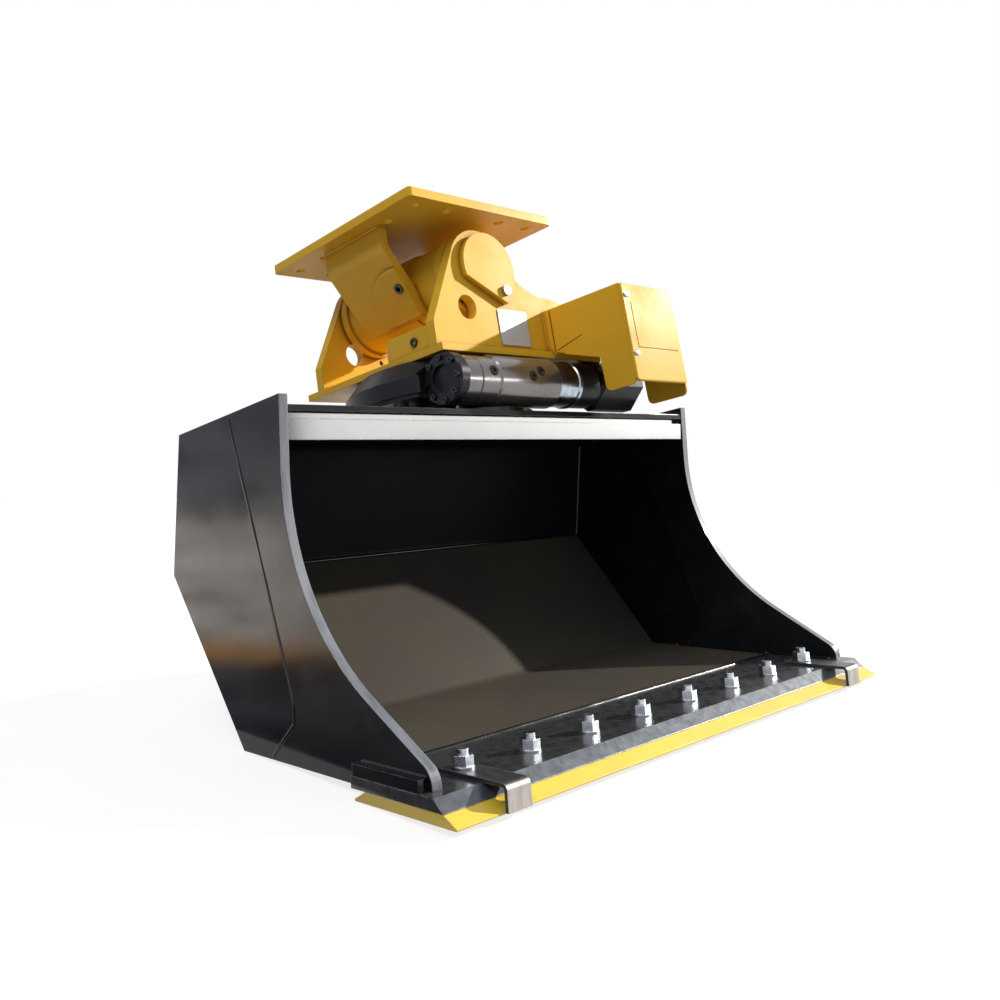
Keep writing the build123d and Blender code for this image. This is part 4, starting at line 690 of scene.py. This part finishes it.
def side_seams(side):
    """Seams between a bucket side and the shell, the lip and its bar."""
    inner_back = (331.6, under_top(331.6))
    outer_shell = (
        (4, top_skin(4)), (340, top_skin(340)), (346, 548), (368.5, 296), (128, 12), (90, 11)
    )
    # Each seam's X, its places (y, z) and the bead's radius.
    seams = (
        (CHEEK_IN, ((28, under_top(28)), (166, under_top(166))), 4.5),
        (PLATE_IN, ((170, under_top(170)), inner_back, BACK_FOLD, HEEL_FOLD, (42, 24.8)), 4.5),
        (CHEEK_IN, ((38, 24.9), LIP_REAR), 4.5),
        (CHEEK_IN, ((-206, 35.2), (-352, 42.8)), 4.0),
        (JOINT_OUT, ((167, 601.0), *CHEEK_REAR, (38, 6)), 5.0),
        (PLATE_IN, outer_shell, 4.5),
        (SIDE_OUT, ((-205.5, 53.2), (-351, 60.8)), 3.5),
        (JOINT_IN, ((154, 568), *CHEEK_REAR, (12, 33)), 2.6),
    )
    return [([shell(side * x, *spot) for spot in spots], radius) for x, spots, radius in seams]


def arc(first, last):
    """Angles in radians from one number of degrees to another, 4 degrees apart."""
    return [math.radians(degrees) for degrees in range(first, last + 1, 4)]


def bucket_seams():
    """Every seam of the bucket body."""
    seams = side_seams(-1) + side_seams(1)
    # Along the whole width: the lip's rear, the beam's foot and the shell's inner fold.
    for half, y, z, radius in (
        (612, -204.5, 33.8, 4.5), (612, 26, under_top(26), 4.0), (620, 355, 293.5, 4.0)
    ):
        seams.append(([shell(-half, y, z), shell(half, y, z)], radius))
    rim = [
        head(RIM_R * math.cos(turn), SLEW_B + RIM_R * math.sin(turn), RIM_H)
        for turn in arc(139, 399)
    ]
    seams.append((rim, 4.5))
    for x in GUSSET_FACES:
        seams.append(([shell(x, 346.2, 520), shell(x, 354, 444)], 3.0))
    return seams


def frame_seams():
    """Seams of the ears and the guard on the base plate."""
    ear_end, wing_end = -173, 362
    left, right, top = GUARD_LEFT, GUARD_RIGHT, GUARD_TOP
    # Each seam's ends (a, h) on the front ear's face, and the bead's radius.
    front = (
        ((ear_end, PLATE_TOP), (186, PLATE_TOP), 5.0),
        ((199, PLATE_TOP), (wing_end, PLATE_TOP), 4.0),
        ((left, 20), (left, top - 1), 3.0),
        ((left + 3, top), (right - 2, top), 3.0),
        ((right, top - 1), (right, 20), 3.0),
    )
    seams = []
    for (first_a, first_h), (last_a, last_h), radius in front:
        ends = [head(first_a, FRONT_EAR[0], first_h), head(last_a, FRONT_EAR[0], last_h)]
        seams.append((ends, radius))
    for b, end in ((FRONT_EAR[1], wing_end), (REAR_EAR[0], -ear_end), (REAR_EAR[1], -ear_end)):
        seams.append(([head(ear_end, b, PLATE_TOP), head(end, b, PLATE_TOP)], 5.0))
    return seams


def bracket_seams():
    """Seams of the bent side plates under the top plate and on the actuator."""
    under, front, back = 329, -92, 106
    seams = []
    for side in (-1, 1):
        for a, h, radius in (
            (183, under, 5.0), (163, under, 5.0), (88.7, 179.1, 4.5), (61.8, 132.7, 4.5)
        ):
            seams.append(([head(side * a, front, h), head(side * a, back, h)], radius))
        for b in (front - 3, back + 3):
            seams.append(([head(side * 181, b, under), head(side * 165, b, under)], 3.5))
    return seams


def pad_rim_shade():
    """Dark brown beads round the raised pads of the bracket side plates: painted shade."""
    seams = []
    for side in (-1, 1):
        rim = []
        for turn in arc(192, 376):
            down = PAD_DOWN + PAD_R * math.sin(turn)
            b = PAD_B - PAD_R * math.cos(turn)
            if b > FACE_B and down < FACE_DOWN:
                a = side * (LEAN_A - LEAN_IN * down)
                rim.append(head(a, b, LEAN_H - LEAN_DOWN * down))
        seams.append((rim, 2.2))
    return seams


def guard_fold_shade():
    """Dark brown lines along the fold and the creases of the guard's left sheet: painted shade."""
    fold, crease = 1.3, 0.9
    # Each line's ends (b, h) on the sheet, and its radius.
    lines = (
        ((GUARD_FRONT, 117), (GUARD_FRONT, 12), fold),
        ((GUARD_FRONT, 12), (-262, 2.5), fold),
        ((-240, 16), (-318, 34), crease),
    )
    return [
        ([head(GUARD_LEFT, *first), head(GUARD_LEFT, *last)], radius)
        for first, last, radius in lines
    ]


strap(-1, "strap_left")
strap(1, "strap_right")
welds("bucket_welds", "bucket", BLACK, bucket_seams())
welds("frame_welds", "tilt_frame", YELLOW, frame_seams())
welds("bracket_welds", "upper_bracket", YELLOW, bracket_seams())
# Dark brown beads as painted shade round the pads and along the guard's folds.
welds("pad_rim_shade", "upper_bracket", SHADE_BROWN, pad_rim_shade())
welds("guard_fold_shade", "tilt_frame", SHADE_BROWN, guard_fold_shade())


# The camera's place in metres and its angles in radians, as fitted to the photograph.
CAMERA_AT = Vector((-1.5853, -1.4589, 0.5028))
YAW, PITCH, ROLL = 0.7033, -0.0754, -0.0245

# Focal length, and where the lens looks, as shares of the picture's width; sensor in mm.
FOCAL = 0.962155
CENTRE = (0.3737, 0.3923)
SENSOR = 36.0
CLIP_NEAR, CLIP_FAR = 0.05, 60.0


def photo_camera():
    """Camera at the photograph's place and angle."""
    ahead = Vector((
        math.sin(YAW) * math.cos(PITCH), math.cos(YAW) * math.cos(PITCH), -math.sin(PITCH)
    ))
    right = Vector((math.cos(YAW), -math.sin(YAW), 0.0))
    above = right.cross(ahead)
    across = right * math.cos(ROLL) + above * math.sin(ROLL)
    upward = above * math.cos(ROLL) - right * math.sin(ROLL)
    data = bpy.data.cameras.new("camera")
    data.sensor_width = SENSOR
    data.sensor_fit = "HORIZONTAL"
    data.lens = FOCAL * SENSOR
    data.shift_x = 0.5 - CENTRE[0]
    data.shift_y = CENTRE[1] - 0.5
    data.clip_start = CLIP_NEAR
    data.clip_end = CLIP_FAR
    camera = bpy.data.objects.new("camera", data)
    turn = Matrix((across, upward, -ahead)).transposed().to_4x4()
    camera.matrix_world = Matrix.Translation(CAMERA_AT) @ turn
    bpy.context.collection.objects.link(camera)
    bpy.context.scene.camera = camera


# Colours of the lights.
SUNLIGHT = (1.0, 0.96, 0.89)
WARM = (1.0, 0.97, 0.92)
NEUTRAL = (1.0, 0.98, 0.95)
COOL = (0.92, 0.96, 1.0)

SUN_STRENGTH, SUN_WIDTH = 5.2, math.radians(1.5)
SUN_TOWARDS = (-0.846, 0.359, -0.395)


def aim(lamp, towards):
    """Turns a lamp so that it shines along a direction."""
    lamp.rotation_euler = Vector(towards).to_track_quat("-Z", "Y").to_euler()


def area_light(name, *, place, target, size, power, colour):
    """Soft box at place, aimed at target, with its size in metres and power in watts."""
    data = bpy.data.lights.new(name, "AREA")
    data.shape = "RECTANGLE"
    data.size, data.size_y = size
    data.energy = power
    data.color = colour
    lamp = bpy.data.objects.new(name, data)
    lamp.location = place
    aim(lamp, Vector(target) - Vector(place))
    lamp.visible_camera = False
    bpy.context.collection.objects.link(lamp)
    return lamp


def lights():
    """Sun from the right and front, a low bright card there, soft boxes left and above."""
    sun = bpy.data.lights.new("key", "SUN")
    sun.energy = SUN_STRENGTH
    sun.angle = SUN_WIDTH
    sun.color = SUNLIGHT
    lamp = bpy.data.objects.new("key", sun)
    aim(lamp, SUN_TOWARDS)
    bpy.context.collection.objects.link(lamp)
    # Only mirrors see this card.
    low = area_light(
        "low_card", place=(2.85, -2.77, 0.85), target=(0.1, 0.0, 0.55), size=(2.5, 0.5),
        power=30, colour=NEUTRAL,
    )
    low.visible_diffuse = False
    area_light(
        "front", place=(0.9, -4.2, 2.0), target=(0.0, 0.0, 0.7), size=(2.2, 1.4),
        power=8, colour=WARM,
    )
    area_light(
        "left", place=(-2.5, -0.6, 3.8), target=(0.0, 0.0, 0.8), size=(1.6, 1.6),
        power=56, colour=WARM,
    )
    area_light(
        "top", place=(0.2, -0.6, 3.6), target=(0.0, 0.0, 0.4), size=(2.6, 2.6),
        power=14, colour=COOL,
    )


def sheet(name, corners, faces):
    """Flat stage piece from corners and faces."""
    mesh = bpy.data.meshes.new(name)
    mesh.from_pydata(corners, [], faces)
    piece = bpy.data.objects.new(name, mesh)
    bpy.context.collection.objects.link(piece)
    return piece


def yard_cards():
    """Cards at the back left that only mirrors see: dusk above, light ground, dark beside it."""
    foot, crown = 0.02, 2.3
    left, right = (-4.6, 0.2), (-0.9, 4.4)
    near, beside = -0.9, -0.66
    corners = [
        (*left, foot), (*right, foot), (*right, crown), (*left, crown),
        (left[0], near, foot), (beside, near, foot), (beside, right[1], foot),
    ]
    card = sheet("yard_cards", corners, [(0, 1, 2, 3), (0, 4, 5, 6, 1)])
    card.visible_camera = False
    card.visible_diffuse = False
    card.visible_shadow = False
    m = Nodes("yard_cards")
    x, y, z = (m.part(m.position(), axis) for axis in "XYZ")
    drift = m.product(m.noise(1.3, 3, 0.6), 0.5)
    sky = m.remap(m.maths("ADD", z, drift), 0.46, 0.66)
    ground = m.remap(z, 0.06, 0.03)
    # Grows towards the bucket, with a wavy line.
    nearness = m.maths("ADD", m.maths("SUBTRACT", x, m.product(y, 0.5)), m.product(drift, 0.3))
    tone = m.mix(sky, (0.95, 0.87, 0.79), (0.24, 0.25, 0.28))
    for start, end, colour in (
        (-1.68, -1.45, (0.60, 0.33, 0.13)), (-1.36, -1.13, (0.08, 0.08, 0.09))
    ):
        tone = m.mix(m.product(ground, m.remap(nearness, start, end)), tone, colour)
    patches = m.noise(2.3, 4, 0.6, m.stretched((1.0, 1.0, 2.6)))
    m.link(tone, "Emission Color")
    m.link(m.remap(patches, 0.40, 0.58, 1.0, 4.6), "Emission Strength")
    m.set(Base_Color=(0.0, 0.0, 0.0, 1.0), Roughness=1.0, Specular_IOR_Level=0.0)
    card.data.materials.append(m.material)


def seen_rays(tree):
    """1 for camera, glossy and transmission rays, 0 for the rays that light."""
    rays = tree.nodes.new("ShaderNodeLightPath")
    total = rays.outputs["Is Camera Ray"]
    for kind in ("Is Glossy Ray", "Is Transmission Ray"):
        larger = tree.nodes.new("ShaderNodeMath")
        larger.operation = "MAXIMUM"
        tree.links.new(total, larger.inputs[0])
        tree.links.new(rays.outputs[kind], larger.inputs[1])
        total = larger.outputs[0]
    return total


# The world's light on the object, and the white that is seen or mirrored.
SKY_LIGHT = (0.72, 0.85, 1.0, 1.0), 0.20
SKY_SEEN = (1.0, 1.0, 1.0, 1.0), 1.0


def world():
    """World that lights softly, and shows white where it is seen or mirrored."""
    sky = bpy.data.worlds.new("world")
    bpy.context.scene.world = sky
    sky.use_nodes = True
    tree = sky.node_tree
    tree.nodes.clear()
    output = tree.nodes.new("ShaderNodeOutputWorld")
    mixer = tree.nodes.new("ShaderNodeMixShader")
    tree.links.new(seen_rays(tree), mixer.inputs["Fac"])
    for place, (colour, strength) in ((1, SKY_LIGHT), (2, SKY_SEEN)):
        background = tree.nodes.new("ShaderNodeBackground")
        background.inputs["Color"].default_value = colour
        background.inputs["Strength"].default_value = strength
        tree.links.new(background.outputs[0], mixer.inputs[place])
    tree.links.new(mixer.outputs[0], output.inputs["Surface"])


# The floor, in metres, just under the part. Its glow turns it white where it is seen.
FLOOR_HALF, FLOOR_DROP = 14.0, 0.0005
FLOOR_GREY = (0.34, 0.34, 0.34, 1.0)
FLOOR_GLOW = 0.79


def floor():
    """Pale floor that takes the part's shadow and runs into the white behind it."""
    half = FLOOR_HALF
    corners = [(-half, -half, 0), (half, -half, 0), (half, half, 0), (-half, half, 0)]
    ground = sheet("floor", corners, [(0, 1, 2, 3)])
    ground.location.z = -FLOOR_DROP
    m = Nodes("floor")
    m.set(Base_Color=FLOOR_GREY, Roughness=0.9, Emission_Color=(1, 1, 1, 1))
    m.link(m.product(seen_rays(m.tree), FLOOR_GLOW), "Emission Strength")
    ground.data.materials.append(m.material)


photo_camera()
lights()
world()
floor()
yard_cards()

bpy.context.scene.view_settings.view_transform = "Standard"
